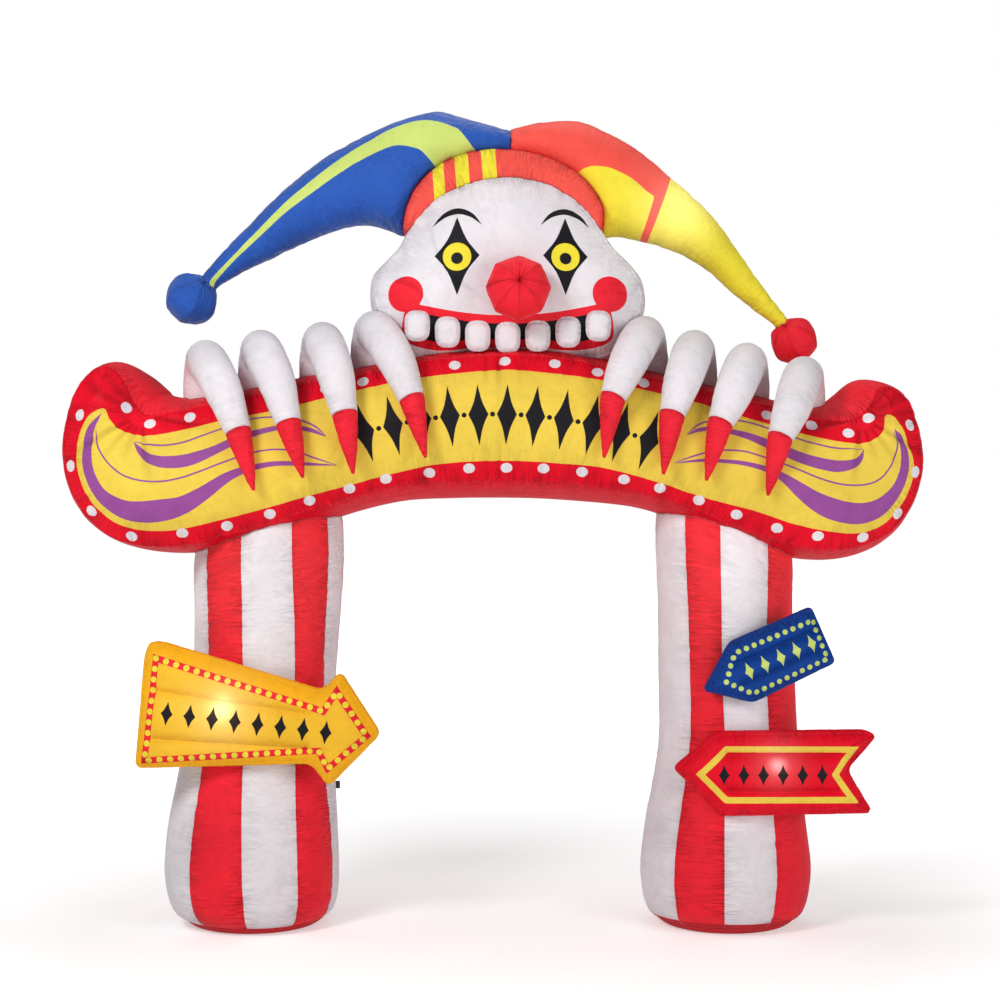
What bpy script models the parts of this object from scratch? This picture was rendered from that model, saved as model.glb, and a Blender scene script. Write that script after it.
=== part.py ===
"""Inflatable carnival archway: striped legs, scroll-ended beam, jester's head, gripping fingers, signs.

Metres, +Z up, front towards -Y, with the origin on the ground at the middle of the whole arch.
Every air-filled form is one closed solid with its crown, its drawn-in seams and its sewn channels.
Outlines are seam lines seen from the front, listed counter-clockwise.
"""

import math
from collections import namedtuple

import bmesh
import bpy
import numpy as np
from mathutils import Vector
from mathutils.geometry import delaunay_2d_cdt

# ---------------------------------------------------------------- driving dimensions (metres)
ARCH_Y = 0.076               # the beam's mid-plane, behind the origin; the tables count from it
SEAT_GAP = 0.0004            # cloth bodies that press on each other stay this far apart
CROWN_POWER = 2.2            # how fast an inflated panel rises from its seam
GUSSET_POWER = 0.75          # roundness of an inflated gusset

BEAM_DEPTH = 0.64            # front seam to back seam
BEAM_CROWN = 0.12
BEAM_REACH = 0.30            # distance from the seam at which a panel is fully crowned
BEAM_STEP = 0.092

HEAD_DEPTH = 0.44
HEAD_CROWN = 0.15
HEAD_REACH = 0.34
BAND_DEPTH = 0.40
BAND_CROWN = 0.035

NOSE_CENTRE = Vector((0.104, -0.455, 2.805))
NOSE_RADIUS = 0.138

LEG_GORES = (44, 37, 35, 35, 35, 32, 35, 35, 35, 37)   # widths in degrees, from the front one
RIGHT_LEG_TURN = 19.5        # degrees that the right leg is turned about its axis
GORE_DIP = 0.012             # depth of a sewn seam between two gores
SOLE_TOP = 0.035             # height of the seam between a foot and its sole

FINGER_RISE = 0.32           # from a finger's hidden root to the top of its knuckle
KNUCKLE_RADIUS = 0.085
CUFF_RADIUS = 0.058          # where a white finger is sewn to its claw
CLAW_TIP_RADIUS = 0.006

SIGN_DEPTH = 0.06
SIGN_CROWN = 0.055
SIGN_PUFF = 0.028
SIGN_Y = -0.365              # middle of the signs' thickness
CHANNEL_DIP = 0.022
CHANNEL_WIDTH = 0.035

TOOTH_WIDTH = 0.108
TOOTH_LENGTH = 0.128
TOOTH_COUNT = 7
TOOTH_PITCH = 0.131
TOOTH_ARC = 0.30             # rise of the row of teeth towards its ends, per metre squared
TOOTH_LIFT = 0.008           # middle of a tooth's thickness, in front of the face that carries it

TAB_SIZE = (0.045, 0.026, 0.066)
TAB_CENTRE = Vector((-0.722, 0.05, 0.616))

RimRow = namedtuple("RimRow", "x z puff")
LegRow = namedtuple("LegRow", "z x half_width half_depth")
HornRow = namedtuple("HornRow", "top_x top_z low_x low_z half_depth y")
FingerRow = namedtuple("FingerRow", "name knuckle_x top_z cuff_x cuff_z tip_x tip_z")
Channel = namedtuple("Channel", "x0 z0 x1 z1")

# ---------------------------------------------------------------- section and outline tables
BEAM_RIM = [RimRow(*row) for row in (
    (0.025, 2.535, 0.060), (-0.280, 2.510, 0.060), (-0.570, 2.450, 0.060), (-0.845, 2.405, 0.060),
    (-1.080, 2.350, 0.060), (-1.255, 2.315, 0.065), (-1.365, 2.295, 0.075),
    (-1.525, 2.280, 0.130), (-1.585, 2.380, 0.100), (-1.640, 2.465, 0.050),      # left curl
    (-1.720, 2.485, 0.045), (-1.790, 2.420, 0.030), (-1.845, 2.310, 0.040), (-1.870, 2.165, 0.050),
    (-1.865, 2.035, 0.050), (-1.820, 1.910, 0.050), (-1.740, 1.815, 0.050), (-1.625, 1.755, 0.050),
    (-1.495, 1.725, 0.050), (-1.320, 1.725, 0.050), (-1.105, 1.770, 0.060), (-0.855, 1.845, 0.060),
    (-0.625, 1.920, 0.060), (-0.410, 1.973, 0.065), (-0.190, 1.990, 0.070), (0.025, 1.992, 0.070),
    (0.220, 1.988, 0.070), (0.460, 1.966, 0.065), (0.635, 1.940, 0.060), (0.780, 1.900, 0.060),
    (1.070, 1.786, 0.060), (1.200, 1.742, 0.060), (1.330, 1.703, 0.050), (1.460, 1.690, 0.050),
    (1.583, 1.703, 0.050), (1.695, 1.750, 0.050), (1.780, 1.830, 0.050), (1.835, 1.940, 0.050),
    (1.860, 2.040, 0.050), (1.853, 2.165, 0.050), (1.810, 2.320, 0.040), (1.757, 2.377, 0.040),
    (1.696, 2.412, 0.050), (1.648, 2.351, 0.100), (1.592, 2.264, 0.130),         # right curl
    (1.426, 2.255, 0.075), (1.331, 2.277, 0.065), (1.139, 2.325, 0.060), (0.887, 2.381, 0.060),
    (0.648, 2.442, 0.060), (0.474, 2.486, 0.060), (0.265, 2.525, 0.060),
)]

HEAD_RIM = [RimRow(*row) for row in (
    (0.060, 3.325, 0.030), (-0.100, 3.300, 0.030), (-0.235, 3.240, 0.030), (-0.335, 3.145, 0.030),
    (-0.385, 3.060, 0.030), (-0.430, 2.985, 0.030), (-0.495, 2.930, 0.037), (-0.522, 2.850, 0.038),
    (-0.510, 2.760, 0.037), (-0.485, 2.670, 0.040), (-0.430, 2.575, 0.050), (-0.330, 2.535, 0.060),
    (0.060, 2.565, 0.060),
    (0.420, 2.535, 0.060), (0.540, 2.575, 0.050), (0.600, 2.660, 0.040), (0.640, 2.750, 0.035),
    (0.645, 2.830, 0.035), (0.615, 2.915, 0.035), (0.555, 2.975, 0.030), (0.490, 3.050, 0.030),
    (0.440, 3.140, 0.030), (0.340, 3.235, 0.030), (0.215, 3.300, 0.030),
)]

BAND_RIM = [RimRow(*row) for row in (
    (0.473, 3.110, 0.010), (0.478, 3.190, 0.018), (0.435, 3.280, 0.020), (0.365, 3.352, 0.020),
    (0.280, 3.403, 0.020), (0.170, 3.440, 0.020), (0.060, 3.455, 0.020), (-0.040, 3.452, 0.020),
    (-0.145, 3.430, 0.020), (-0.240, 3.385, 0.020), (-0.318, 3.318, 0.020), (-0.370, 3.235, 0.018),
    (-0.397, 3.140, 0.010), (-0.385, 3.075, 0.005),
    (-0.325, 3.130, 0.000), (-0.220, 3.232, 0.000), (-0.090, 3.290, 0.000), (0.060, 3.312, 0.000),
    (0.210, 3.290, 0.000), (0.330, 3.225, 0.000), (0.425, 3.130, 0.000), (0.462, 3.075, 0.005),
)]

LEFT_LEG = [LegRow(*row) for row in (
    (SOLE_TOP + SEAT_GAP, -1.080, 0.318, 0.312), (0.065, -1.085, 0.356, 0.348),
    (0.140, -1.090, 0.383, 0.370), (0.270, -1.095, 0.392, 0.380), (0.460, -1.090, 0.380, 0.370),
    (0.650, -1.075, 0.358, 0.350), (0.850, -1.055, 0.340, 0.330), (1.150, -1.035, 0.325, 0.318),
    (1.500, -1.018, 0.333, 0.315), (1.720, -1.014, 0.341, 0.308), (1.860, -1.014, 0.335, 0.295),
    (1.980, -1.014, 0.310, 0.270),
)]
RIGHT_LEG = [LegRow(*row) for row in (
    (SOLE_TOP + SEAT_GAP, 1.045, 0.314, 0.308), (0.065, 1.045, 0.350, 0.342),
    (0.140, 1.045, 0.375, 0.360), (0.270, 1.046, 0.386, 0.370), (0.460, 1.046, 0.364, 0.355),
    (0.650, 1.052, 0.335, 0.335), (0.850, 1.058, 0.315, 0.320), (1.150, 1.050, 0.309, 0.315),
    (1.500, 1.042, 0.304, 0.312), (1.720, 1.037, 0.307, 0.308), (1.860, 1.037, 0.305, 0.295),
    (1.980, 1.037, 0.290, 0.270),
)]

# The two horns are sewn together at x = 0.075.
LEFT_HORN = [HornRow(*row) for row in (
    (0.0748, 3.574, 0.0748, 3.430, 0.165, 0.0), (-0.100, 3.622, -0.110, 3.405, 0.195, 0.0),
    (-0.245, 3.662, -0.215, 3.355, 0.205, 0.0), (-0.345, 3.647, -0.290, 3.280, 0.210, 0.0),
    (-0.470, 3.607, -0.340, 3.190, 0.205, 0.0), (-0.595, 3.551, -0.400, 3.110, 0.190, 0.0),
    (-0.700, 3.495, -0.530, 3.150, 0.170, 0.0), (-0.790, 3.440, -0.657, 3.150, 0.150, 0.0),
    (-0.965, 3.298, -0.840, 3.085, 0.122, 0.0), (-1.114, 3.148, -0.990, 3.015, 0.092, 0.0),
    (-1.228, 3.030, -1.128, 2.949, 0.066, 0.0), (-1.314, 2.935, -1.255, 2.875, 0.046, 0.0),
    (-1.345, 2.895, -1.290, 2.845, 0.044, 0.0),
)]
RIGHT_HORN = [HornRow(*row) for row in (
    (0.0752, 3.580, 0.0752, 3.430, 0.165, 0.0), (0.204, 3.610, 0.185, 3.410, 0.195, 0.0),
    (0.344, 3.619, 0.290, 3.355, 0.205, 0.0), (0.440, 3.600, 0.370, 3.285, 0.210, 0.0),
    (0.566, 3.540, 0.425, 3.190, 0.205, 0.0), (0.640, 3.497, 0.475, 3.105, 0.195, 0.0),
    (0.715, 3.440, 0.560, 3.105, 0.180, 0.0), (0.800, 3.365, 0.645, 3.090, 0.165, 0.0),
    (0.897, 3.284, 0.745, 3.065, 0.145, 0.005), (1.010, 3.171, 0.865, 3.020, 0.120, 0.02),
    (1.105, 3.049, 0.985, 2.950, 0.092, 0.045), (1.215, 2.908, 1.110, 2.845, 0.064, 0.085),
    (1.335, 2.765, 1.285, 2.725, 0.040, 0.130), (1.365, 2.730, 1.315, 2.695, 0.038, 0.135),
)]
LEFT_BALL = (Vector((-1.370, 0.0, 2.822)), 0.118)
RIGHT_BALL = (Vector((1.382, 0.14, 2.650)), 0.108)

FINGERS = [FingerRow(*row) for row in (
    ("finger_left_1", -1.285, 2.615, -1.090, 2.190, -1.025, 1.940),
    ("finger_left_2", -1.040, 2.660, -0.875, 2.225, -0.815, 1.993),
    ("finger_left_3", -0.765, 2.695, -0.635, 2.263, -0.600, 2.010),
    ("finger_left_4", -0.535, 2.745, -0.350, 2.330, -0.292, 2.080),
    ("finger_right_4", 0.672, 2.722, 0.507, 2.336, 0.470, 2.080),
    ("finger_right_3", 0.893, 2.660, 0.760, 2.263, 0.723, 2.008),
    ("finger_right_2", 1.127, 2.603, 0.966, 2.228, 0.907, 1.982),
    ("finger_right_1", 1.378, 2.543, 1.221, 2.165, 1.170, 1.918),
)]

ARROW_CORNERS = ((-1.500, 1.310), (-1.550, 0.745), (-0.790, 0.762), (-0.715, 0.660),
                 (-0.485, 0.892), (-0.662, 1.165), (-0.738, 1.082))
ARROW_CHANNELS = (Channel(-1.450, 1.080, -0.810, 0.985), Channel(-1.460, 0.875, -0.810, 0.835))
POINTER_CORNERS = ((0.900, 1.078), (1.120, 1.025), (1.478, 1.200), (1.370, 1.445), (1.015, 1.290))
POINTER_CHANNELS = (Channel(1.041, 1.195, 1.375, 1.337), Channel(1.073, 1.107, 1.400, 1.258))
SWALLOWTAIL_CORNERS = ((0.770, 0.745), (0.990, 0.535), (1.640, 0.548), (1.528, 0.737),
                       (1.655, 0.910), (0.955, 0.905))
SWALLOWTAIL_CHANNELS = (Channel(1.010, 0.805, 1.480, 0.805), Channel(1.010, 0.650, 1.480, 0.650))

# ---------------------------------------------------------------- colours (linear)
RED = (0.66, 0.012, 0.028)
WHITE = (0.80, 0.79, 0.83)
YELLOW = (0.85, 0.62, 0.07)
BLUE = (0.028, 0.075, 0.36)
ORANGE = (0.88, 0.36, 0.03)
BLACK = (0.02, 0.02, 0.022)


def nylon(name, colour):
    """Principled material of coated nylon cloth."""
    material = bpy.data.materials.get(name) or bpy.data.materials.new(name)
    material.use_nodes = True
    shader = material.node_tree.nodes["Principled BSDF"]
    shader.inputs["Base Color"].default_value = (*colour, 1.0)
    shader.inputs["Roughness"].default_value = 0.55
    shader.inputs["Metallic"].default_value = 0.0
    return material


def add_object(name, points, faces, material, smooth=True):
    """Make one object from points about the beam's mid-plane and faces, turned outwards."""
    mesh = bpy.data.meshes.new(name)
    mesh.from_pydata([(x, y + ARCH_Y, z) for x, y, z in points], [], faces)
    work = bmesh.new()
    work.from_mesh(mesh)
    bmesh.ops.triangulate(work, faces=work.faces[:])
    bmesh.ops.recalc_face_normals(work, faces=work.faces[:])
    work.to_mesh(mesh)
    work.free()
    mesh.materials.append(material)
    if smooth:
        mesh.shade_smooth()
        mesh.set_sharp_from_angle(angle=math.radians(50))
    body = bpy.data.objects.new(name, mesh)
    bpy.context.scene.collection.objects.link(body)
    return body


# ---------------------------------------------------------------- curves and outlines
def smooth_rows(rows, step, closed):
    """Read a smooth curve through the rows at even steps along its first two columns."""
    knots = np.array(rows, dtype=float)
    count = len(knots)
    if not closed:
        knots = np.vstack([2 * knots[0] - knots[1], knots, 2 * knots[-1] - knots[-2]])
    fine = []
    for index in range(count if closed else count - 1):
        if closed:
            before, start, end, after = (knots[(index + shift) % count] for shift in (-1, 0, 1, 2))
        else:
            before, start, end, after = knots[index:index + 4]
        for t in np.arange(16) / 16:
            fine.append(0.5 * (2 * start + (end - before) * t
                               + (2 * before - 5 * start + 4 * end - after) * t * t
                               + (3 * start - before - 3 * end + after) * t ** 3))
    fine.append(knots[0] if closed else knots[-2])
    return even_rows(np.array(fine), step, closed)


def even_rows(fine, step, closed):
    """Resample a fine polyline, whose last row ends it, at even steps."""
    lengths = np.hypot(*np.diff(fine[:, :2], axis=0).T)
    along = np.concatenate([[0.0], np.cumsum(lengths)])
    pieces = max(3, round(along[-1] / step))
    stations = np.linspace(0.0, along[-1], pieces + 1)
    if closed:
        stations = stations[:-1]
    return np.column_stack([np.interp(stations, along, column) for column in fine.T])


def rounded_outline(corners, radius, step):
    """Closed outline with straight sides and corners rounded by the radius."""
    fine = []
    count = len(corners)
    for index in range(count):
        corner = Vector(corners[index])
        to_last = Vector(corners[index - 1]) - corner
        to_next = Vector(corners[(index + 1) % count]) - corner
        cut = min(radius, to_last.length * 0.45, to_next.length * 0.45)
        start = corner + to_last.normalized() * cut
        end = corner + to_next.normalized() * cut
        for t in np.arange(7) / 6:
            fine.append(start * (1 - t) ** 2 + corner * 2 * t * (1 - t) + end * t * t)
    fine.append(fine[0])
    return even_rows(np.array([tuple(point) for point in fine]), step, closed=True)


def outward_normals(outline):
    """Unit normals of a closed counter-clockwise outline."""
    along = np.roll(outline, -1, axis=0) - np.roll(outline, 1, axis=0)
    along /= np.hypot(*along.T)[:, None]
    return np.column_stack([along[:, 1], -along[:, 0]])


def segment_distance(points, starts, ends):
    """Distance from each point to the nearest of the segments."""
    along = ends - starts
    offset = points[:, None, :] - starts[None, :, :]
    share = np.clip((offset * along).sum(-1) / np.maximum((along * along).sum(-1), 1e-12), 0, 1)
    gap = offset - share[..., None] * along
    return np.hypot(gap[..., 0], gap[..., 1]).min(axis=1)


def rim_distance(points, outline):
    """Distance from each point to a closed outline."""
    return segment_distance(points, outline, np.roll(outline, -1, axis=0))


def inside(points, outline):
    """Which points lie inside a closed outline."""
    starts, ends = outline, np.roll(outline, -1, axis=0)
    x, z = points[:, 0:1], points[:, 1:2]
    straddles = (starts[:, 1] > z) != (ends[:, 1] > z)
    rise = np.where(ends[:, 1] == starts[:, 1], 1e-12, ends[:, 1] - starts[:, 1])
    crossing = (ends[:, 0] - starts[:, 0]) * (z - starts[:, 1]) / rise + starts[:, 0]
    return (straddles & (x < crossing)).sum(axis=1) % 2 == 1


# ---------------------------------------------------------------- air-filled pads
def crown_height(points, outline, crown, reach, channels=()):
    """Height of an inflated panel above its seam plane at each point."""
    share = np.minimum(rim_distance(points, outline) / reach, 1.0)
    height = crown * (1 - (1 - share) ** CROWN_POWER)
    for channel in channels:
        start = np.array([[channel.x0, channel.z0]])
        end = np.array([[channel.x1, channel.z1]])
        away = segment_distance(points, start, end)
        height = height - CHANNEL_DIP * np.exp(-(away / CHANNEL_WIDTH) ** 2)
    return height


def panel_mesh(outline, spacing, channels):
    """Triangulate a panel: its rim, an even field of points and its channels' points."""
    low, high = outline.min(axis=0), outline.max(axis=0)
    rows = np.arange(low[1], high[1], spacing * math.sqrt(3) / 2)
    field = [(x + (index % 2) * spacing / 2, z) for index, z in enumerate(rows)
             for x in np.arange(low[0], high[0], spacing)]
    field = np.array(field)
    field = field[inside(field, outline)]
    field = field[rim_distance(field, outline) > spacing * 0.55]
    extra = []
    for channel in channels:
        start = np.array([channel.x0, channel.z0])
        end = np.array([channel.x1, channel.z1])
        pieces = max(2, round(float(np.hypot(*(end - start))) / spacing))
        field = field[segment_distance(field, start[None], end[None]) > spacing * 0.5]
        extra += [start + (end - start) * t for t in np.linspace(0, 1, pieces + 1)]
    points = np.vstack([outline, field] + ([np.array(extra)] if extra else []))
    count = len(outline)
    rim_edges = [(index, (index + 1) % count) for index in range(count)]
    placed, _, faces, sources, _, _ = delaunay_2d_cdt(
        [Vector(point) for point in points], rim_edges, [], 1, 1e-7)
    rim = [0] * count
    for index, source in enumerate(sources):
        for number in source:
            if number < count:
                rim[number] = index
    return np.array([tuple(point) for point in placed]), faces, rim


def pad(name, outline, puffs, depth, crown, reach, y_mid, spacing, material,
        channels=(), back_crown=None, strips=5):
    """Make an inflated pad: crowned front and back panels joined by a bulging gusset."""
    flat, faces, rim = panel_mesh(outline, spacing, channels)
    front = y_mid - depth / 2 - crown_height(flat, outline, crown, reach, channels)
    back_height = crown if back_crown is None else back_crown
    back = y_mid + depth / 2 + crown_height(flat, outline, back_height, reach)
    on_rim = set(rim)
    front = [y_mid - depth / 2 if i in on_rim else y for i, y in enumerate(front)]
    back = [y_mid + depth / 2 if i in on_rim else y for i, y in enumerate(back)]
    points = [(x, y, z) for (x, z), y in zip(flat, front)]
    points += [(x, y, z) for (x, z), y in zip(flat, back)]
    shift = len(flat)
    solid_faces = [tuple(face) for face in faces]
    solid_faces += [tuple(index + shift for index in reversed(face)) for face in faces]
    normals = outward_normals(outline)
    rings = [list(rim)]
    for strip in range(1, strips):
        t = 0.5 - 0.5 * math.cos(math.pi * strip / strips)
        bulge = math.sin(math.pi * t) ** GUSSET_POWER
        ring = outline + normals * (np.asarray(puffs) * bulge)[:, None]
        rings.append([len(points) + index for index in range(len(outline))])
        points += [(x, y_mid - depth / 2 + depth * t, z) for x, z in ring]
    rings.append([index + shift for index in rim])
    for near, far in zip(rings, rings[1:]):
        for index in range(len(outline)):
            after = (index + 1) % len(outline)
            solid_faces.append((near[index], far[index], far[after], near[after]))
    return add_object(name, points, solid_faces, material)


# ---------------------------------------------------------------- lofted tubes and balls
def loft(name, rings, material):
    """Join rings of equal count into a closed tube with a centre point on each end."""
    points = [point for ring in rings for point in ring]
    sides = len(rings[0])
    faces = []
    for level in range(len(rings) - 1):
        base = level * sides
        for index in range(sides):
            after = (index + 1) % sides
            faces.append((base + index, base + after, base + sides + after, base + sides + index))
    for ring, base in ((rings[0], 0), (rings[-1], (len(rings) - 1) * sides)):
        points.append(sum((Vector(point) for point in ring), Vector()) / sides)
        faces += [(base + index, base + (index + 1) % sides, len(points) - 1)
                  for index in range(sides)]
    return add_object(name, points, faces, material)


def gore_angles(turn, per_gore):
    """Angles around a leg, from its front, with the share across the gore at each."""
    angle = -LEG_GORES[0] / 2 + turn
    stations = []
    for width in LEG_GORES:
        for part in range(per_gore):
            stations.append((math.radians(angle + width * part / per_gore), part / per_gore))
        angle += width
    return stations


def leg(name, profile, turn, material):
    """Make a leg: a gored tube with a swollen foot, its seams drawn in."""
    rows = smooth_rows([(0.0, row.z, row.x, row.half_width, row.half_depth) for row in profile],
                       0.13, closed=False)
    rows = np.vstack([rows[:1], [(0.0, *profile[1])], rows[1:]])
    stations = gore_angles(turn, 3)
    rings = []
    for _, z, x, half_width, half_depth in rows:
        ring = []
        for angle, share in stations:
            dip = GORE_DIP * (1 - math.sin(math.pi * share) ** 0.8)
            ring.append((x + (half_width - dip) * math.sin(angle),
                         -(half_depth - dip) * math.cos(angle), z))
        rings.append(ring)
    return loft(name, rings, material)


def sole(name, foot, turn, material):
    """Make the round bottom panel that a foot stands on."""
    levels = ((0.0, -0.052), (0.013, -0.020), (SOLE_TOP, 0.0))
    rings = [[(foot.x + (foot.half_width + change) * math.sin(angle),
               -(foot.half_depth + change) * math.cos(angle), z)
              for angle, _ in gore_angles(turn, 3)] for z, change in levels]
    return loft(name, rings, material)


def horn(name, profile, material):
    """Make a horn of the cap from its oval sections."""
    rows = smooth_rows([((row.top_x + row.low_x) / 2, (row.top_z + row.low_z) / 2, *row)
                        for row in profile], 0.115, closed=False)
    rings = []
    for _, _, top_x, top_z, low_x, low_z, half_depth, y in rows:
        centre = Vector(((top_x + low_x) / 2, y, (top_z + low_z) / 2))
        rise = Vector(((top_x - low_x) / 2, 0, (top_z - low_z) / 2))
        rings.append([centre + rise * math.cos(angle) + Vector((0, half_depth * math.sin(angle), 0))
                      for angle in (math.tau * index / 18 for index in range(18))])
    return loft(name, rings, material)


def gored_ball(name, centre, radius, axis, gores, material, dip=0.07, per_gore=3, levels=9):
    """Make a stuffed ball of gores whose seams meet at its two poles."""
    axis = axis.normalized()
    side = axis.orthogonal().normalized()
    other = axis.cross(side)
    poles = (centre - axis * radius, centre + axis * radius)
    rings = []
    for level in range(1, levels):
        polar = math.pi * level / levels
        ring = []
        for index in range(gores * per_gore):
            angle = math.tau * index / (gores * per_gore)
            valley = 1 - math.sin(math.pi * (index % per_gore) / per_gore)
            reach = radius * (1 - dip * valley * math.sin(polar))
            spoke = side * math.cos(angle) + other * math.sin(angle)
            ring.append(centre - axis * reach * math.cos(polar) + spoke * reach * math.sin(polar))
        rings.append(ring)
    points = [point for ring in rings for point in ring] + list(poles)
    sides = gores * per_gore
    faces = []
    for level in range(len(rings) - 1):
        base = level * sides
        for index in range(sides):
            after = (index + 1) % sides
            faces.append((base + index, base + after, base + sides + after, base + sides + index))
    last = (len(rings) - 1) * sides
    faces += [(index, (index + 1) % sides, len(points) - 2) for index in range(sides)]
    faces += [(last + index, last + (index + 1) % sides, len(points) - 1) for index in range(sides)]
    return add_object(name, points, faces, material)


def tube_rings(path, sides):
    """Rings across a bent path of (point, radius), square to the path at each point."""
    rings = []
    for index, (point, radius) in enumerate(path):
        last = path[max(index - 1, 0)][0]
        after = path[min(index + 1, len(path) - 1)][0]
        along = (after - last).normalized()
        across = (Vector((1, 0, 0)) - along * along.x).normalized()
        third = along.cross(across)
        rings.append([point + radius * (across * math.cos(angle) + third * math.sin(angle))
                      for angle in (math.tau * step / sides for step in range(sides))])
    return rings


# ---------------------------------------------------------------- fingers
def beam_face_y(x, z, outline):
    """Depth of the banner's front face at a place on it."""
    height = crown_height(np.array([[x, z]]), outline, BEAM_CROWN, BEAM_REACH)[0]
    return -BEAM_DEPTH / 2 - float(height)


def finger_path(row, outline):
    """Route of a finger: up out of the beam, over the knuckle and down the banner to its cuff."""
    out = math.copysign(0.02, row.knuckle_x)
    knuckle = row.top_z - KNUCKLE_RADIUS
    cuff_y = beam_face_y(row.cuff_x, row.cuff_z, outline) - CUFF_RADIUS - 0.002
    lean = row.cuff_x - row.knuckle_x
    rows = (
        (row.knuckle_x + out, -0.045, row.top_z - FINGER_RISE, 0.096),
        (row.knuckle_x + out, -0.050, knuckle - 0.110, 0.094),
        (row.knuckle_x + out * 0.6, -0.090, knuckle - 0.030, 0.089),
        (row.knuckle_x, -0.180, knuckle, KNUCKLE_RADIUS),
        (row.knuckle_x + lean * 0.16, -0.310, knuckle - 0.055, 0.083),
        (row.knuckle_x + lean * 0.50, -0.420, knuckle - 0.170, 0.075),
        (row.cuff_x, cuff_y, row.cuff_z, CUFF_RADIUS),
    )
    knots = [(sum(abs(b - a) for a, b in zip(rows[0], row_)), 0.0, *row_) for row_ in rows]
    lengths = np.concatenate([[0.0], np.cumsum([
        (Vector(b[2:5]) - Vector(a[2:5])).length for a, b in zip(knots, knots[1:])])])
    read = smooth_rows([(length, 0.0, *knot[2:]) for length, knot in zip(lengths, knots)],
                       0.075, closed=False)
    return [(Vector(values[2:5]), float(values[5])) for values in read]


def finger_and_claw(row, outline, white, red):
    """Make a white finger and the red claw sewn on its end."""
    path = finger_path(row, outline)
    finger = loft(row.name, tube_rings(path, 10), white)
    cuff, cuff_radius = path[-1]
    along = (cuff - path[-2][0]).normalized()
    tip_y = beam_face_y(row.tip_x, row.tip_z, outline) - 0.018
    tip = Vector((row.tip_x, min(tip_y, cuff.y + 0.01), row.tip_z))
    start = cuff + along * SEAT_GAP
    claw_path = []
    for t in (0.0, 0.3, 0.6, 0.85, 1.0):
        radius = cuff_radius * (1 - t) ** 0.9 * (1 + 0.25 * t) + CLAW_TIP_RADIUS * t
        claw_path.append((start.lerp(tip, t), radius))
    rings = tube_rings([(start - along * 0.01, cuff_radius)] + claw_path, 10)[1:]
    square = tube_rings([(start, cuff_radius), (start + along, cuff_radius)], 10)[0]
    claw = loft(row.name.replace("finger", "claw"), [square] + rings[1:], red)
    return finger, claw


# ---------------------------------------------------------------- seating one body on another
def cutter_of(body):
    """Hidden copy of a body, grown by the seating gap, that trims what presses on it."""
    name = body.name + "_cutter"
    cutter = bpy.data.objects.get(name)
    if cutter:
        return cutter
    mesh = body.data.copy()
    work = bmesh.new()
    work.from_mesh(mesh)
    work.normal_update()
    moves = [vert.normal * SEAT_GAP * min(vert.calc_shell_factor(), 2.5) for vert in work.verts]
    for vert, move in zip(work.verts, moves):
        vert.co += move
    work.to_mesh(mesh)
    work.free()
    cutter = bpy.data.objects.new(name, mesh)
    cutter.hide_render = True
    cutter.display_type = "WIRE"
    bpy.context.scene.collection.objects.link(cutter)
    return cutter


def seat(piece, *carriers):
    """Trim a piece so that it lies on its carriers."""
    for carrier in carriers:
        trim = piece.modifiers.new("seat_on_" + carrier.name, "BOOLEAN")
        trim.operation = "DIFFERENCE"
        trim.solver = "EXACT"
        trim.object = cutter_of(carrier)


# ---------------------------------------------------------------- the archway
def rim(rows, step):
    """Outline and puffs of a rim table, at even steps."""
    read = smooth_rows(rows, step, closed=True)
    return read[:, :2], np.maximum(read[:, 2], 0.0)


def sign(name, corners, channels, material):
    """Make a stuffed sign with rounded corners and two sewn channels."""
    edge = rounded_outline(corners, 0.06, 0.055)
    outline = edge - outward_normals(edge) * SIGN_PUFF
    return pad(name, outline, np.full(len(outline), SIGN_PUFF), SIGN_DEPTH, SIGN_CROWN, 0.11,
               SIGN_Y, 0.075, material, channels, strips=3)


def teeth(head_line, material):
    """Make the row of plain stuffed teeth, each with its upper half sewn to the face."""
    half_w, half_l = TOOTH_WIDTH / 2, TOOTH_LENGTH / 2
    row = []
    for index in range(TOOTH_COUNT):
        along = (index - (TOOTH_COUNT - 1) / 2) * TOOTH_PITCH
        x = HEAD_RIM[0].x + along
        z = 2.612 + TOOTH_ARC * along * along
        corners = [(x - half_w, z + half_l), (x - half_w * 0.92, z - half_l),
                   (x + half_w * 0.92, z - half_l), (x + half_w, z + half_l)]
        outline = rounded_outline(corners, 0.05, 0.027)
        sewn_at = np.array([[x, z + half_l / 2]])
        face = HEAD_DEPTH / 2 + float(crown_height(sewn_at, head_line, HEAD_CROWN, HEAD_REACH)[0])
        row.append(pad("tooth_%d" % (index + 1), outline, np.full(len(outline), 0.004), 0.012,
                       0.026, 0.05, -face - TOOTH_LIFT, 0.030, material, strips=2))
    return row


def tether_tab(material):
    """Make the folded webbing tab on the inner side of the left leg."""
    work = bmesh.new()
    bmesh.ops.create_cube(work, size=1.0)
    for vert in work.verts:
        vert.co = TAB_CENTRE + Vector([c * s for c, s in zip(vert.co, TAB_SIZE)])
    bmesh.ops.bevel(work, geom=work.edges[:], offset=0.004, segments=1, affect="EDGES")
    points = [vert.co.copy() for vert in work.verts]
    faces = [tuple(vert.index for vert in face.verts) for face in work.faces]
    work.free()
    return add_object("tether_tab", points, faces, material, smooth=False)


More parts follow.
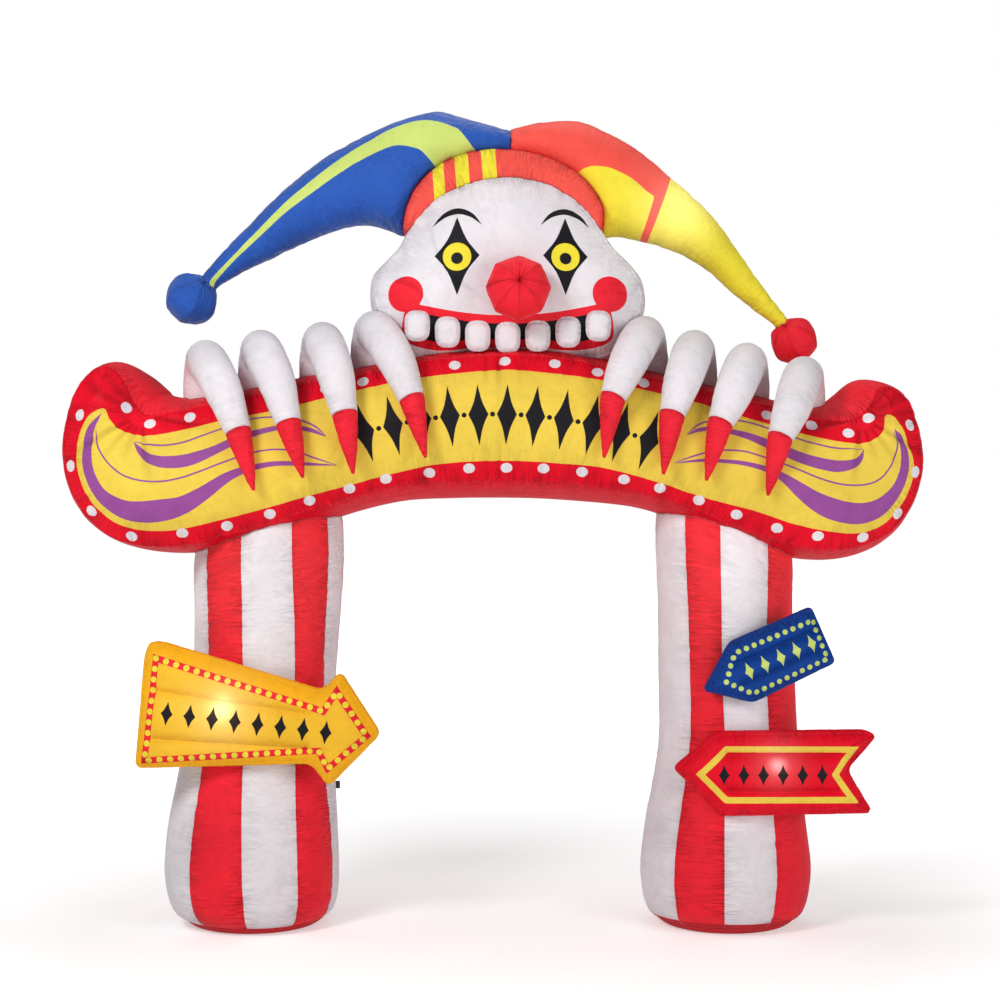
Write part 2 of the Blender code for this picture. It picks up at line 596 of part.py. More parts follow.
def build():
    """Make every body of the archway and seat each on what carries it."""
    red, white = nylon("red_nylon", RED), nylon("white_nylon", WHITE)
    blue, yellow = nylon("blue_nylon", BLUE), nylon("yellow_nylon", YELLOW)
    orange, black = nylon("orange_nylon", ORANGE), nylon("black_webbing", BLACK)

    beam_line, beam_puff = rim(BEAM_RIM, BEAM_STEP)
    beam = pad("beam", beam_line, beam_puff, BEAM_DEPTH, BEAM_CROWN, BEAM_REACH, 0.0, 0.125,
               yellow, strips=6)
    head_line, head_puff = rim(HEAD_RIM, 0.085)
    head = pad("head", head_line, head_puff, HEAD_DEPTH, HEAD_CROWN, HEAD_REACH, 0.0, 0.105, white)
    band_line, band_puff = rim(BAND_RIM, 0.085)
    band = pad("hat_band", band_line, band_puff, BAND_DEPTH, BAND_CROWN, 0.06, 0.0, 0.06, red,
               strips=4)

    legs = (leg("leg_left", LEFT_LEG, 0.0, white), leg("leg_right", RIGHT_LEG, RIGHT_LEG_TURN, white))
    sole("sole_left", LEFT_LEG[0], 0.0, red)
    sole("sole_right", RIGHT_LEG[0], RIGHT_LEG_TURN, red)
    for body in legs:
        seat(body, beam)

    ball_axis = Vector((0.6, -0.55, 0.6))
    left_ball = gored_ball("ball_left", *LEFT_BALL, ball_axis, 6, blue)
    right_ball = gored_ball("ball_right", *RIGHT_BALL, Vector((-0.5, -0.6, 0.6)), 6, red)
    seat(horn("horn_left", LEFT_HORN, blue), band, head, left_ball)
    seat(horn("horn_right", RIGHT_HORN, red), band, head, right_ball)
    seat(band, head)

    fingers = {}
    for row in FINGERS:
        finger, claw = finger_and_claw(row, beam_line, white, red)
        seat(finger, beam)
        seat(claw, beam)
        fingers[row.name] = finger
    seat(head, beam, fingers["finger_left_4"], fingers["finger_right_4"])

    nose_axis = Vector((0.02, -1.0, 0.09))
    seat(gored_ball("nose", NOSE_CENTRE, NOSE_RADIUS, nose_axis, 8, red, dip=0.05), head)
    for tooth in teeth(head_line, white):
        seat(tooth, head, beam)

    seat(sign("sign_arrow", ARROW_CORNERS, ARROW_CHANNELS, orange), legs[0])
    seat(sign("sign_pointer", POINTER_CORNERS, POINTER_CHANNELS, blue), legs[1])
    seat(sign("sign_swallowtail", SWALLOWTAIL_CORNERS, SWALLOWTAIL_CHANNELS, red), legs[1])
    seat(tether_tab(black), legs[0])


for old in list(bpy.data.objects):
    bpy.data.objects.remove(old)
build()
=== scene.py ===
import logging
import math
from dataclasses import dataclass, field
from enum import Enum
from functools import cache
from typing import Callable, Iterable, Sequence

import bpy
import numpy as np
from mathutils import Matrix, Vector
from mathutils.bvhtree import BVHTree
from mathutils.geometry import delaunay_2d_cdt
from mathutils.kdtree import KDTree


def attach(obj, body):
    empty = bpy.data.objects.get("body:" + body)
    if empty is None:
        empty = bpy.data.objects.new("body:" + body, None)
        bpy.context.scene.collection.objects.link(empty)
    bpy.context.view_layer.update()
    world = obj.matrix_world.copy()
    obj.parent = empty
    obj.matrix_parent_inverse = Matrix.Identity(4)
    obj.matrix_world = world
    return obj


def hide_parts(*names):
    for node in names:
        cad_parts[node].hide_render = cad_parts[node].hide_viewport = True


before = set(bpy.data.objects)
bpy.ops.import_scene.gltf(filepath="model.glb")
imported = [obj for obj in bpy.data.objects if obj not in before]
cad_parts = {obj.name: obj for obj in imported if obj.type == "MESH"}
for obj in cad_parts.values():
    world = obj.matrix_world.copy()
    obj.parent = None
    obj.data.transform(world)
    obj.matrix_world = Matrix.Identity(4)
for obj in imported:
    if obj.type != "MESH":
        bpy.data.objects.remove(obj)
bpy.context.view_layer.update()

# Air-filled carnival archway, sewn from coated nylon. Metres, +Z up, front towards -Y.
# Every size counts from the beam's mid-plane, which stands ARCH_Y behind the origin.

Array = np.ndarray
Colour = tuple[float, float, float]
Rows = Sequence[Sequence[float]]
Place = tuple[float, float, float]
GlowSpot = tuple[float, float, float, float, float]   # painted glow on the cloth: place, radius and power

logging.basicConfig(level=logging.INFO, format="%(message)s")
LOG = logging.getLogger("archway")

ARCH_Y = 0.076          # the beam's mid-plane, behind the origin
TOUCH = 0.0008          # cloth that presses on other cloth stays this far off it
CROWN_POWER = 2.2       # how fast a blown-up panel rises from its seam
GUSSET_POWER = 0.75     # roundness of a blown-up gusset
SEAM_DIP = 0.0022       # how deep a sewn line is drawn in
SEAM_WIDTH = 0.008      # and how far to its sides
CHANNEL_DIP = 0.0016    # the same along a channel
STITCH_PITCH = 0.0125   # from one stitch to the next
STITCH_LIFT = 0.0004    # how far they stand off the cloth
BACK_COARSER = 1.45     # points of a plain back panel lie this much further apart
RELIEF_UNIT = 0.006     # a lift of this much counts as one in the relief map, which the shader darkens as painted shade
CAP_MIDDLE = 0.06       # the cap and the head's lower half are centred on this x
FAR = 1.5               # reach of the lines that look for the cloth a piece presses on


class Dye(Enum):
    """Colours of the cloth's dyes and of the prints on it."""

    RED = "red"
    CORAL = "coral"
    SOLE = "sole"
    WHITE = "white"
    YELLOW = "yellow"
    PURPLE = "purple"
    BLUE = "blue"
    LIME = "lime"
    LEMON = "lemon"
    ORANGE = "orange"
    GOLD = "gold"
    NAVY = "navy"
    CLAW = "claw"
    BLACK = "black"
    CRIMSON = "crimson"
    WEBBING = "webbing"


class Side(Enum):
    """Hands of the archway, as seen from the front."""

    LEFT = "left"
    RIGHT = "right"


def put(name: str, data: bpy.types.ID) -> bpy.types.Object:
    """Make an object of some data and link it to the scene."""
    made = bpy.data.objects.new(name, data)
    bpy.context.scene.collection.objects.link(made)
    return made


# --- node trees
class Signal:
    """One output in a node tree, with the arithmetic that Math nodes do."""

    def __init__(self, socket: bpy.types.NodeSocket) -> None:
        """Take hold of an output."""
        self.socket = socket

    def also(self, name: str) -> "Signal":
        """Another output of the same node."""
        return Signal(self.socket.node.outputs[name])

    def to(self, operation: str, other: "Signal | float" = 0.0) -> "Signal":
        """Send it through a Math node."""
        return Wiring(self.socket.id_data).node("Math", {0: self, 1: other}, operation=operation)

    def ranged(self, low: float, high: float, bottom: float = 0.0, top: float = 1.0) -> "Signal":
        """Map one range of it to another, held at both ends."""
        return Wiring(self.socket.id_data).node("MapRange", {
            "Value": self, "From Min": low, "From Max": high, "To Min": bottom, "To Max": top})

    def __add__(self, other: "Signal | float") -> "Signal":
        """Sum."""
        return self.to("ADD", other)

    def __sub__(self, other: "Signal | float") -> "Signal":
        """Difference."""
        return self.to("SUBTRACT", other)

    def __rsub__(self, other: float) -> "Signal":
        """Difference from a number."""
        return Wiring(self.socket.id_data).node("Math", {0: other, 1: self}, operation="SUBTRACT")

    def __mul__(self, other: "Signal | float") -> "Signal":
        """Product."""
        return self.to("MULTIPLY", other)

    def __abs__(self) -> "Signal":
        """Size without its sign."""
        return self.to("ABSOLUTE")


@dataclass
class Wiring:
    """A node tree while it is wired."""

    tree: bpy.types.NodeTree
    given: dict[str, Signal] = field(default_factory=dict)   # a group's inputs

    @classmethod
    def group(cls, name: str, kind: str, inputs: dict[str, object],
              outputs: dict[str, str]) -> "Wiring":
        """Start a node group.

        Args:
            name: name of the group.
            kind: Shader or Geometry.
            inputs: name to default, which also gives the type; None for a material.
            outputs: name to type.

        Returns:
            The group, with an output node that is still open.
        """
        tree = bpy.data.node_groups.new(name, kind + "NodeTree")
        if kind == "Geometry":
            tree.interface.new_socket(kind, in_out="INPUT", socket_type="NodeSocketGeometry")
        for key, default in inputs.items():
            form = {int: "Int", float: "Float", type(None): "Material"}.get(type(default))
            made = tree.interface.new_socket(key, in_out="INPUT", socket_type="NodeSocket" + (
                form or ("Color" if len(default) == 4 else "Vector")))
            if default is not None:
                made.default_value = default
        for key, form in outputs.items():
            tree.interface.new_socket(key, in_out="OUTPUT", socket_type="NodeSocket" + form)
        feed = tree.nodes.new("NodeGroupInput")
        tree.nodes.new("NodeGroupOutput")
        return cls(tree, {socket.name: Signal(socket) for socket in feed.outputs if socket.name})

    def feed(self, node: bpy.types.Node, inputs: dict[str | int, object]) -> None:
        """Set or link a node's inputs."""
        for key, value in inputs.items():
            if isinstance(value, Signal):
                self.tree.links.new(value.socket, node.inputs[key])
            else:
                node.inputs[key].default_value = value

    def node(self, kind: str, inputs: dict[str | int, object] | None = None,
             out: str | int = 0, **settings: object) -> Signal:
        """Add one node, set it up and feed it.

        Args:
            kind: type name, which leaves out ShaderNode in front.
            inputs: socket name or number to a constant or a signal.
            out: the output that is wanted.
            **settings: properties of the node itself.

        Returns:
            One of its outputs.
        """
        made = self.tree.nodes.new(kind if "Node" in kind else "ShaderNode" + kind)
        for key, value in settings.items():
            setattr(made, key, value)
        self.feed(made, inputs or {})
        return Signal(made.outputs[out])

    def close(self, outputs: dict[str | int, Signal]) -> bpy.types.NodeTree:
        """Feed a group's outputs and return its tree."""
        self.feed(self.tree.nodes["Group Output"], outputs)
        return self.tree


@cache
def taffeta_group() -> bpy.types.NodeTree:
    """Shader group of crumpled nylon taffeta: colour with painted shade in its hollows and along
    its folds, roughness and height.
    """
    made = Wiring.group("nylon_taffeta", "Shader", {
        "Colour": (1, 1, 1, 1), "Fold Colour": (0.5, 0.5, 0.5, 1), "Roughness": 0.5,
        "Crumple": 0.003, "Pucker": 0.0025, "Weave": 0.00005, "Grime": 0.25},
        {"Colour": "Color", "Roughness": "Float", "Height": "Float"})
    given, node = made.given, made.node
    place = node("TexCoord", out="Object")
    relief = node("Attribute", out="Fac", attribute_name="relief")

    def noise(source: Signal, scale: float, detail: float, bend: float = 0.0) -> Signal:
        """Noise read at a vector."""
        return node("TexNoise", {"Vector": source, "Scale": scale, "Detail": detail,
                                 "Roughness": 0.55, "Distortion": bend}, "Fac")

    def veins(source: Signal, scale: float, detail: float, bend: float = 0.0) -> Signal:
        """Sharp random lines: the places where a smooth noise passes its middle."""
        return abs(noise(source, scale, detail, bend) - 0.5)

    crease = (veins(place, 6.5, 2.0, 0.8) * 1.6 + veins(place, 21.0, 2.0, 0.6) * 0.7
              + veins(place, 75.0, 3.0, 0.4) * 0.30).to("MINIMUM", 0.46)
    # sharp folds that run square to the nearest seam and die out away from it
    along = node("SeparateXYZ", {0: node("UVMap", uv_map="seam")})
    away = along.also("Y")
    change = node("VectorMath", {0: place, 1: (7.0, 7.0, 7.0)}, "Value", operation="DOT_PRODUCT")
    broad, narrow = (
        veins(node("CombineXYZ", {0: along * pace, 1: away * across, 2: change}), 1.0, 1.5)
        .to("MINIMUM", 0.10) * share
        for pace, across, share in ((38.0, 4.5, 1.4), (84.0, 9.0, 0.7)))
    fade = ((away * -9.0).to("EXPONENT") - 0.11).to("MAXIMUM")
    fade *= noise(place, 4.5, 1.0).ranged(0.40, 0.58, 0.40)
    gathered = (broad - 0.185 + narrow) * fade * given["Pucker"]
    thread = node("SeparateXYZ", {0: node("VectorMath", {
        0: node("UVMap", uv_map="cloth"), 1: (3900.0, 3900.0, 0.0)}, operation="MULTIPLY")})
    weave = thread.to("SINE") * thread.also("Y").to("SINE") * given["Weave"]
    # colour: painted shade in the hollows and as thin dark lines along the folds and creases,
    # uneven dye, a little dust on what stands near the ground
    shaded_in_hollows = node("Mix", {0: relief.ranged(-1.1, 0.2), 6: given["Fold Colour"],
                         7: given["Colour"]}, 2, data_type="RGBA")
    # painted shade: thin darker lines along the puckers by the seams and along the creases
    pale = gathered * 50.0 + crease.ranged(0.0, 0.16, 0.94, 1.01)
    dyed_and_shaded = node("VectorMath", {0: shaded_in_hollows, "Scale": noise(place, 3.3, 3.0).ranged(
        0.3, 0.7, 0.90, 1.05) * pale}, operation="SCALE")
    dusty = node("SeparateXYZ", {0: place}, "Z").ranged(0.0, 0.11, 1.0, 0.0)
    soiled = node("Mix", {0: dusty * noise(place, 14.0, 4.0) * given["Grime"], 6: dyed_and_shaded,
                          7: (0.23, 0.19, 0.15, 1)}, 2, data_type="RGBA")
    return made.close({
        "Colour": soiled, "Height": crease * given["Crumple"] + gathered + weave,
        "Roughness": given["Roughness"] + noise(place, 9.0, 2.0).ranged(0.0, 1.0, -0.07, 0.09)})


@cache
def painted_glow_group() -> bpy.types.NodeTree:
    """Shader group of a painted glow: the cloth gives off light around given spots, where there is
    no lamp.
    """
    made = Wiring.group("lamp_inside", "Shader", {"Light": (1, 1, 1, 1)}, {"Glow": "Color"})
    glow = made.node("Attribute", out="Fac", attribute_name="glow")
    return made.close({"Glow": made.node("VectorMath", {0: made.given["Light"], "Scale": glow},
                                         operation="SCALE")})


# --- finishes
@dataclass(frozen=True)
class Finish:
    """A finish whose material is made once."""

    name: str
    colour: Colour

    def inputs(self, made: Wiring) -> dict[str, object]:
        """Wire the finish and return the shader's inputs."""
        raise NotImplementedError

    @cache
    def material(self) -> bpy.types.Material:
        """Build the finish once and return it."""
        material = bpy.data.materials.new(self.name)
        material.use_nodes = True
        made = Wiring(material.node_tree)
        made.feed(made.tree.nodes["Principled BSDF"], self.inputs(made))
        return material

    def deep(self, share: float) -> tuple[float, float, float, float]:
        """Painted shade: the same colour darkened, for the cloth in a hollow."""
        return (*(value * share for value in self.colour), 1)


@dataclass(frozen=True)
class NylonFinish(Finish):
    """Coated nylon taffeta of one dye."""

    depth: float = 0.62      # painted shade: share of the colour kept deep in a fold
    # colour of the painted glow
    light: Colour = (1.0, 0.9, 0.8)
    roughness: float = 0.50
    sheen: float = 0.0
    crumple: float = 0.0055
    pucker: float = 0.030
    # colour of the painted shade deep in a fold, given in place of a darkened copy
    fold: Colour | None = None

    def inputs(self, made: Wiring) -> dict[str, object]:
        """Wire the finish and return the shader's inputs."""
        cloth = made.node("Group", {
            "Colour": (*self.colour, 1), "Roughness": self.roughness, "Crumple": self.crumple,
            "Fold Colour": (*self.fold, 1) if self.fold else self.deep(self.depth),
            "Pucker": self.pucker}, node_tree=taffeta_group())
        # painted glow: light given off around the spots of the glow map
        lamp = made.node("Group", {"Light": (*self.light, 1)}, node_tree=painted_glow_group())
        bump = made.node("Bump", {"Strength": 1.0, "Distance": 1.0,
                                  "Height": cloth.also("Height")})
        return {"Base Color": cloth, "Roughness": cloth.also("Roughness"), "Normal": bump,
                "Emission Color": lamp, "Emission Strength": 1.0, "Sheen Weight": self.sheen,
                "Sheen Roughness": 0.4, "Specular IOR Level": 0.11}


@dataclass(frozen=True)
class ThreadFinish(Finish):
    """Spun polyester sewing thread or woven webbing."""

    ribs_per_metre: float = 900.0

    def inputs(self, made: Wiring) -> dict[str, object]:
        """Wire the finish and return the shader's inputs."""
        ribs = made.node("TexWave", {
            "Vector": made.node("TexCoord", out="Object"), "Distortion": 0.6,
            "Scale": self.ribs_per_metre * 0.314}, "Fac", bands_direction="DIAGONAL")
        # painted shade: the colour darkens in the grooves between the ribs
        ramp = made.node("Mix", {0: ribs, 6: self.deep(0.55), 7: (*self.colour, 1)}, 2,
                         data_type="RGBA")
        bump = made.node("Bump", {"Strength": 0.6, "Distance": 0.0004, "Height": ribs})
        return {"Base Color": ramp, "Normal": bump, "Roughness": 0.75, "Sheen Weight": 0.3}


# after the colour: share kept in the hollows, or fold, as painted shade; light: colour of the
# painted glow
FINISHES: dict[Dye, Finish] = {
    Dye.RED: NylonFinish("nylon_red", (0.93, 0.020, 0.038), pucker=0.042, light=(1.0, 0.25, 0.18)),
    Dye.CORAL: NylonFinish("nylon_coral_red", (0.95, 0.098, 0.074), 0.72, (1.0, 0.4, 0.3)),
    Dye.CRIMSON: NylonFinish("nylon_crimson", (0.84, 0.003, 0.020), light=(1.0, 0.6, 0.6)),
    Dye.SOLE: NylonFinish("nylon_sole_red", (0.66, 0.006, 0.020), roughness=0.56),
    Dye.WHITE: NylonFinish("nylon_white", (0.82, 0.775, 0.805), fold=(0.62, 0.59, 0.65),
                           crumple=0.0040, pucker=0.022),
    Dye.YELLOW: NylonFinish("nylon_yellow", (0.86, 0.62, 0.075), 0.76),
    Dye.PURPLE: NylonFinish("print_purple", (0.33, 0.080, 0.33)),
    Dye.BLUE: NylonFinish("nylon_blue", (0.024, 0.105, 0.48), 0.60, pucker=0.050, crumple=0.016,
                          sheen=0.25),
    Dye.LIME: NylonFinish("nylon_lime", (0.60, 0.72, 0.18), 0.78),
    Dye.LEMON: NylonFinish("nylon_lemon", (0.90, 0.76, 0.045), 0.80, (1.0, 1.0, 0.6)),
    Dye.ORANGE: NylonFinish("nylon_orange", (0.98, 0.47, 0.012), 0.88, (1.0, 0.8, 0.3),
                            pucker=0.009),
    Dye.GOLD: NylonFinish("print_gold", (0.92, 0.52, 0.030), 0.90, (1.0, 0.92, 0.55),
                          pucker=0.007),
    Dye.NAVY: NylonFinish("nylon_navy", (0.004, 0.050, 0.29), 0.55),
    Dye.CLAW: NylonFinish("nylon_claw_red", (0.95, 0.020, 0.042), 0.50, crumple=0.011),
    Dye.BLACK: NylonFinish("print_black", (0.012, 0.011, 0.014), 0.8, (0.10, 0.05, 0.02)),
    Dye.WEBBING: ThreadFinish("webbing_black", (0.030, 0.030, 0.034), 420.0),
}
THREADS: dict[Dye, ThreadFinish] = {
    Dye.WHITE: ThreadFinish("white_thread", (0.76, 0.73, 0.76)),
    Dye.RED: ThreadFinish("red_thread", (0.52, 0.010, 0.022)),
    Dye.ORANGE: ThreadFinish("orange_thread", (0.80, 0.36, 0.020)),
    Dye.NAVY: ThreadFinish("navy_thread", (0.006, 0.045, 0.22)),
}


# --- curves
def table(text: str) -> Rows:
    """Read rows of thousandths, parted by commas: millimetres where they are lengths."""
    return tuple(tuple(float(number + "e-3") for number in row.split())
                 for row in text.split(","))


def unit(vectors: Array) -> Array:
    """The same directions at length one."""
    return vectors / np.linalg.norm(vectors, axis=1)[:, None]


def lengths_along(line: Array) -> Array:
    """Length along a line at each of its places."""
    return np.concatenate([[0.0], np.cumsum(np.linalg.norm(np.diff(line, axis=0), axis=1))])


def curve(rows: Rows, step: float, closed: bool = False, place: int = 2) -> Array:
    """Read a smooth curve through rows of numbers at even steps.

    Args:
        rows: the knots.
        step: distance between the rows that come back.
        closed: whether the last knot leads back to the first.
        place: how many leading columns say where a knot lies.

    Returns:
        One row for each station, with every column read off.
    """
    knots = np.array(rows, float)
    count = len(knots)
    if closed:
        padded = np.vstack([knots[-1], knots, knots[:2]])
    else:
        padded = np.vstack([2 * knots[0] - knots[1], knots, 2 * knots[-1] - knots[-2]])
    share = (np.arange(24) / 24)[:, None]
    fine = []
    for number in range(count if closed else count - 1):
        before, start, end, after = padded[number:number + 4]
        fine.append(0.5 * (2 * start + (end - before) * share
                           + (2 * before - 5 * start + 4 * end - after) * share ** 2
                           + (3 * start - before - 3 * end + after) * share ** 3))
    fine = np.vstack(fine + [knots[0] if closed else knots[-1]])
    return evenly(fine, step, closed, place)


def evenly(fine: Array, step: float, closed: bool, place: int = 2) -> Array:
    """Resample a fine polyline, whose last row ends it, at even steps."""
    along = lengths_along(fine[:, :place])
    stations = np.linspace(0.0, along[-1], max(3, round(along[-1] / step)) + 1)
    if closed:
        stations = stations[:-1]
    return np.column_stack([np.interp(stations, along, column) for column in fine.T])


def outward(outline: Array) -> Array:
    """Unit normals of a closed counter-clockwise outline."""
    along = unit(np.roll(outline, -1, axis=0) - np.roll(outline, 1, axis=0))
    return np.column_stack([along[:, 1], -along[:, 0]])


def rounded(corners: Rows, radius: float, step: float) -> Array:
    """Closed outline with straight sides and rounded corners, at even steps."""
    fine = []
    count = len(corners)
    share = (np.arange(7) / 6)[:, None]
    for number in range(count):
        corner = np.array(corners[number], float)
        back = np.array(corners[number - 1], float) - corner
        ahead = np.array(corners[(number + 1) % count], float) - corner
        cut = min(radius, np.hypot(*back) * 0.45, np.hypot(*ahead) * 0.45)
        start = corner + back / np.hypot(*back) * cut
        end = corner + ahead / np.hypot(*ahead) * cut
        fine.append(start * (1 - share) ** 2 + corner * 2 * share * (1 - share) + end * share ** 2)
    fine = np.vstack(fine + [fine[0][:1]])
    return evenly(fine, step, closed=True)


def mitred(corners: Rows, inset: float) -> list[tuple[float, float]]:
    """Corners of a polygon whose sides lie further in (or out, for a negative inset)."""
    points = [np.array(corner, float) for corner in corners]
    area = sum(a[0] * b[1] - a[1] * b[0] for a, b in zip(points, points[1:] + points[:1]))
    turn = 1.0 if area > 0 else -1.0
    moved = []
    for number, corner in enumerate(points):
        last, after = points[number - 1], points[(number + 1) % len(points)]
        into = [np.array([-(b - a)[1], (b - a)[0]]) / np.hypot(*(b - a)) * turn
                for a, b in ((last, corner), (corner, after))]
        bisector = into[0] + into[1]
        moved.append(tuple(corner + bisector * inset * 2 / max(bisector @ bisector, 0.4)))
    return moved


def inside(points: Array, outline: Array) -> Array:
    """Which points lie inside a closed outline."""
    found = np.zeros(len(points), bool)
    low, high = outline.min(axis=0), outline.max(axis=0)
    near = np.where(((points >= low) & (points <= high)).all(axis=1))[0]
    starts, ends = outline, np.roll(outline, -1, axis=0)
    rise = np.where(ends[:, 1] == starts[:, 1], 1e-12, ends[:, 1] - starts[:, 1])
    for part in np.array_split(near, len(near) // 4000 + 1):
        x, z = points[part, 0:1], points[part, 1:2]
        straddles = (starts[:, 1] > z) != (ends[:, 1] > z)
        crossing = (ends[:, 0] - starts[:, 0]) * (z - starts[:, 1]) / rise + starts[:, 0]
        found[part] = (straddles & (x < crossing)).sum(axis=1) % 2 == 1
    return found


def nearest_on(points: Array, line: Array, closed: bool = True) -> tuple[Array, Array]:
    """Find how far points are from a line, and where along it they are nearest.

    Args:
        points: places to measure from.
        line: polyline with the same number of columns.
        closed: whether the line's end leads back to its start.

    Returns:
        Distance from the line, and length along the line, for each point.
    """
    ends = np.roll(line, -1, axis=0) if closed else line[1:]
    starts = line if closed else line[:-1]
    lengths = np.linalg.norm(ends - starts, axis=1)
    at = np.concatenate([[0.0], np.cumsum(lengths)])[:-1]
    parts = max(1, round(float(lengths.mean()) / 0.002))
    tree = KDTree(len(starts) * parts)
    along = []
    for number, (start, end) in enumerate(zip(starts, ends)):
        for part in range(parts):
            place = start + (end - start) * part / parts
            tree.insert((*place, 0.0)[:3], number * parts + part)
            along.append(at[number] + lengths[number] * part / parts)
    tree.balance()
    found = [tree.find((*point, 0.0)[:3]) for point in points]
    return (np.array([hit[2] for hit in found]), np.array([along[hit[1]] for hit in found]))


# --- folds
def drift(values: Array, wave: float, seed: int) -> Array:
    """Smooth uneven wave of about -1 to 1."""
    turns = np.random.default_rng(seed).uniform(0, math.tau, 3)
    total = sum(weight * np.sin(math.tau * values * pace / wave + turn)
                for (pace, weight), turn in zip(((1.0, 1.0), (1.618, 0.7), (2.71, 0.45)), turns))
    return total / 1.5


def field_of(places: Array, wave: float, seed: int) -> Array:
    """Smooth uneven hills over a surface, of about -1 to 1."""
    rng = np.random.default_rng(seed)
    total = np.zeros(len(places))
    for _ in range(9):
        heading = rng.normal(size=places.shape[1])
        heading *= math.tau / wave * rng.uniform(0.6, 1.5) / np.linalg.norm(heading)
        total += np.sin(places @ heading + rng.uniform(0, math.tau))
    return total / 3.0


def creased(places: Array, wave: float, seed: int, depth: float, sharp: float = 0.10) -> Array:
    """Thin wandering creases that come and go over a surface, as heights below it."""
    line = field_of(places, wave, seed)
    where = np.clip(field_of(places, wave * 1.7, seed + 1) * 1.4, 0, 1)
    return -depth * np.exp(-(line / sharp) ** 2) * where


def puckered(along: Array, away: Array, reach: float, seed: int, depth: float = 1.0,
             size: float = 1.0) -> Array:
    """Folds that gather at a seam and run out square to it.

    Args:
        along: length along the seam of the nearest place on it.
        away: distance from the seam.
        reach: distance at which the last fold has died out.
        seed: fixes which folds are long and which are short.
        depth: factor on the folds' depth.
        size: factor on the folds' width and length.

    Returns:
        Height of the cloth above its smooth shape at each place.
    """
    total = np.zeros(len(along))
    for number, (wave, height, fade) in enumerate(
            ((0.042, 0.0032, 0.045), (0.078, 0.0048, 0.085), (0.18, 0.0064, 0.16))):
        wave, height, fade, key = wave * size, height * size, fade * size, seed * 31 + number * 7
        bent = along + 0.34 * wave * drift(along, wave * 3.7, key)
        bent = bent + 0.22 * wave * drift(away, fade * 2.4, key + 1)
        ridge = np.abs(np.sin(math.pi * bent / wave)) ** 0.8 - 0.62
        strength = np.clip(0.62 + 0.62 * drift(along, wave * 2.9, key + 2), 0, None)
        length = fade * np.clip(1 + 0.5 * drift(along, wave * 1.9, key + 3), 0.35, None)
        total += height * strength * ridge * np.exp(-away / length)
    return depth * total * np.clip(1 - away / reach, 0, 1) ** 1.3


@dataclass(frozen=True)
class Crease:
    """A straight fold on a front panel, from its deep end to its shallow end."""

    x0: float
    z0: float
    x1: float
    z1: float
    depth: float
    width: float

    def height(self, places: Array) -> Array:
        """Height of the fold at places on the panel."""
        start, end = np.array([self.x0, self.z0]), np.array([self.x1, self.z1])
        run = end - start
        share = np.clip((places - start) @ run / (run @ run), 0, 1)
        off = np.linalg.norm(places - start - share[:, None] * run, axis=1)
        width = self.width * (0.45 + 0.9 * share)
        return -self.depth * (1 - share) ** 0.7 * np.exp(-(off / width) ** 2)


@dataclass(frozen=True)
class Channel:
    """A line sewn right through a stuffed panel."""

    x0: float
    z0: float
    x1: float
    z1: float
    dip: float = 0.040
    width: float = 0.026

    def line(self, step: float = 0.008) -> Array:
        """Places along the channel."""
        length = math.hypot(self.x1 - self.x0, self.z1 - self.z0)
        share = np.linspace(0, 1, max(2, round(length / step)) + 1)[:, None]
        start = np.array([self.x0, self.z0])
        return start + (np.array([self.x1, self.z1]) - start) * share


# --- printed shapes
@dataclass
class Print:
    """A printed or sewn-in shape of another colour, on a front panel."""

    outline: Array
    dye: Dye
    through: bool = False    # goes on over the gusset


def disc(x: float, z: float, radius: float, dye: Dye, sides: int = 16) -> Print:
    """Round spot."""
    turns = np.arange(sides) * math.tau / sides
    return Print(np.column_stack([x + radius * np.cos(turns), z + radius * np.sin(turns)]), dye)


def lozenge(x: float, z: float, half_width: float, half_height: float, dye: Dye,
            lean: float = 0.0) -> Print:
    """Harlequin lozenge with slightly hollow sides."""
    corners = np.array([(half_width, 0), (0, half_height), (-half_width, 0), (0, -half_height)])
    points = []
    for start, end in zip(corners, np.roll(corners, -1, axis=0)):
        for share in np.linspace(0, 1, 7)[:-1]:
            hollow = 1 - 0.16 * math.sin(math.pi * share)
            points.append((start + (end - start) * share) * hollow)
    points = np.array(points)
    turned = np.column_stack([points[:, 0] * math.cos(lean) - points[:, 1] * math.sin(lean),
                              points[:, 0] * math.sin(lean) + points[:, 1] * math.cos(lean)])
    return Print(turned + (x, z), dye)


def ribbon(rows: Rows, dye: Dye, step: float = 0.012) -> Print:
    """Band of changing width along a curve, from rows of x, z and half width."""
    read = curve(rows, step)
    along = unit(np.gradient(read[:, :2], axis=0))
    across = np.column_stack([-along[:, 1], along[:, 0]]) * np.maximum(read[:, 2:3], 0.0012)
    return Print(np.vstack([read[:, :2] + across, (read[:, :2] - across)[::-1]]), dye)


def strand(rows: Rows, dye: Dye, half: float = 0.0038) -> Print:
    """Thin line of even width along a curve, pointed at both ends."""
    last = len(rows) - 1
    return ribbon([(*row, half if 0 < number < last else half * 0.3)
                   for number, row in enumerate(rows)], dye)


def patch(knots: Rows, dye: Dye, step: float = 0.011) -> Print:
    """Area bounded by a smooth closed curve through the knots."""
    return Print(curve(knots, step, closed=True), dye)


def trimmed(shape: Print, rim: Array, near: float = 0.006) -> Print:
    """Pull a shape's places that lie past a panel's rim, or near it, back onto the rim."""
    kept = []
    for place in shape.outline:
        gap = np.linalg.norm(rim - place, axis=1)
        spot = place
        if gap.min() <= near or not inside(place[None], rim)[0]:
            spot = rim[gap.argmin()]
        if not kept or np.linalg.norm(kept[-1] - spot) > 1e-6:
            kept.append(spot)
    return Print(np.array(kept), shape.dye, shape.through)


